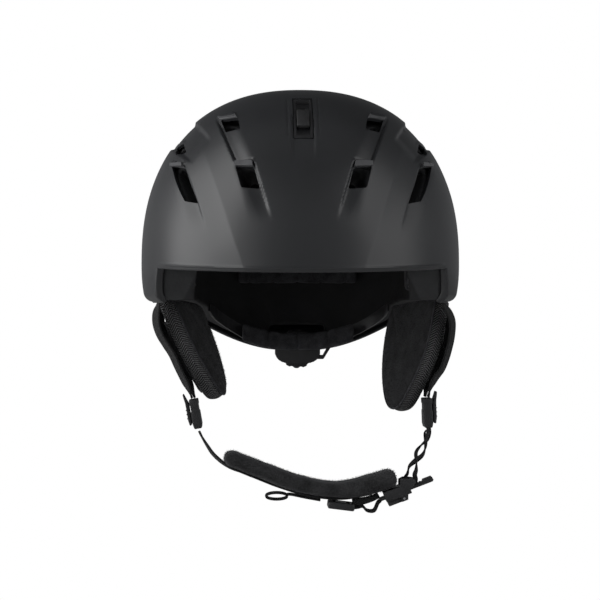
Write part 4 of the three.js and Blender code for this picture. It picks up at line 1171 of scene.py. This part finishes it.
def plain_to_camera(tree, lit, plain, output):
    """Camera rays see the plain shader, and the light falls as from the lit one."""
    seen = tree.nodes.new("ShaderNodeLightPath")
    either = tree.nodes.new("ShaderNodeMixShader")
    tree.links.new(seen.outputs["Is Camera Ray"], either.inputs["Fac"])
    tree.links.new(lit.outputs[0], either.inputs[1])
    tree.links.new(plain.outputs[0], either.inputs[2])
    tree.links.new(either.outputs[0], tree.nodes[output].inputs["Surface"])


world = bpy.data.worlds.new("studio")
scene.world = world
world.use_nodes = True
tree = world.node_tree
room = tree.nodes["Background"]
room.inputs["Color"].default_value = (0.97, 0.985, 1, 1)
# The room is darker overhead and behind.
ray = tree.nodes.new("ShaderNodeTexCoord")
heading = tree.nodes.new("ShaderNodeVectorMath")
heading.operation = "DOT_PRODUCT"
heading.inputs[1].default_value = (0, 0.25, 1)
shade = tree.nodes.new("ShaderNodeMapRange")
for key, value in (("From Min", 0.28), ("From Max", 0.7), ("To Min", AMBIENT), ("To Max", AMBIENT * 0.2)):
    shade.inputs[key].default_value = value
tree.links.new(ray.outputs["Generated"], heading.inputs[0])
tree.links.new(heading.outputs["Value"], shade.inputs["Value"])
tree.links.new(shade.outputs["Result"], room.inputs["Strength"])
backdrop = tree.nodes.new("ShaderNodeBackground")
backdrop.inputs["Color"].default_value = (1, 1, 1, 1)
plain_to_camera(tree, room, backdrop, "World Output")


def softbox(name, place, aim, size, watts):
    data = bpy.data.lights.new(name, "AREA")
    data.shape = "RECTANGLE"
    data.size, data.size_y = size
    data.energy = watts
    obj = link(name, data)
    obj.location = place
    obj.rotation_euler = (Vector(aim) - Vector(place)).to_track_quat("-Z", "Y").to_euler()
    obj.visible_camera = False


softbox("key_left", (-1.6, -0.25, 0.28), (0, 0, 0), (1.5, 2.1), 35)
softbox("front_left", (-1.05, -1.2, 0.15), (0, 0, 0.02), (0.8, 1.2), 2.6)
softbox("fill_right", (1.35, -0.72, 0.3), (0, 0, 0), (1.2, 1.9), 11)
softbox("top", (0, -0.2, 1.6), (0, 0, 0), (1.4, 1.0), 0.8)

corners = [(x * FLOOR_REACH, y * FLOOR_REACH, FLOOR_Z) for x, y in ((-1, -1), (1, -1), (1, 1), (-1, 1))]
floor = from_arrays("studio_floor", corners, [(0, 1, 2, 3)])
pale = Shader("pale_floor", (0.6, 0.6, 0.6), 0.9)
pale.tone(pale.noise(3), (0.3, (0.59, 0.59, 0.59)), (0.7, (0.61, 0.61, 0.61)))
plain_to_camera(pale.tree, pale.bsdf, pale.node("ShaderNodeEmission"), "Material Output")
paint(floor, pale.mat)
scene.view_settings.view_transform = "Standard"
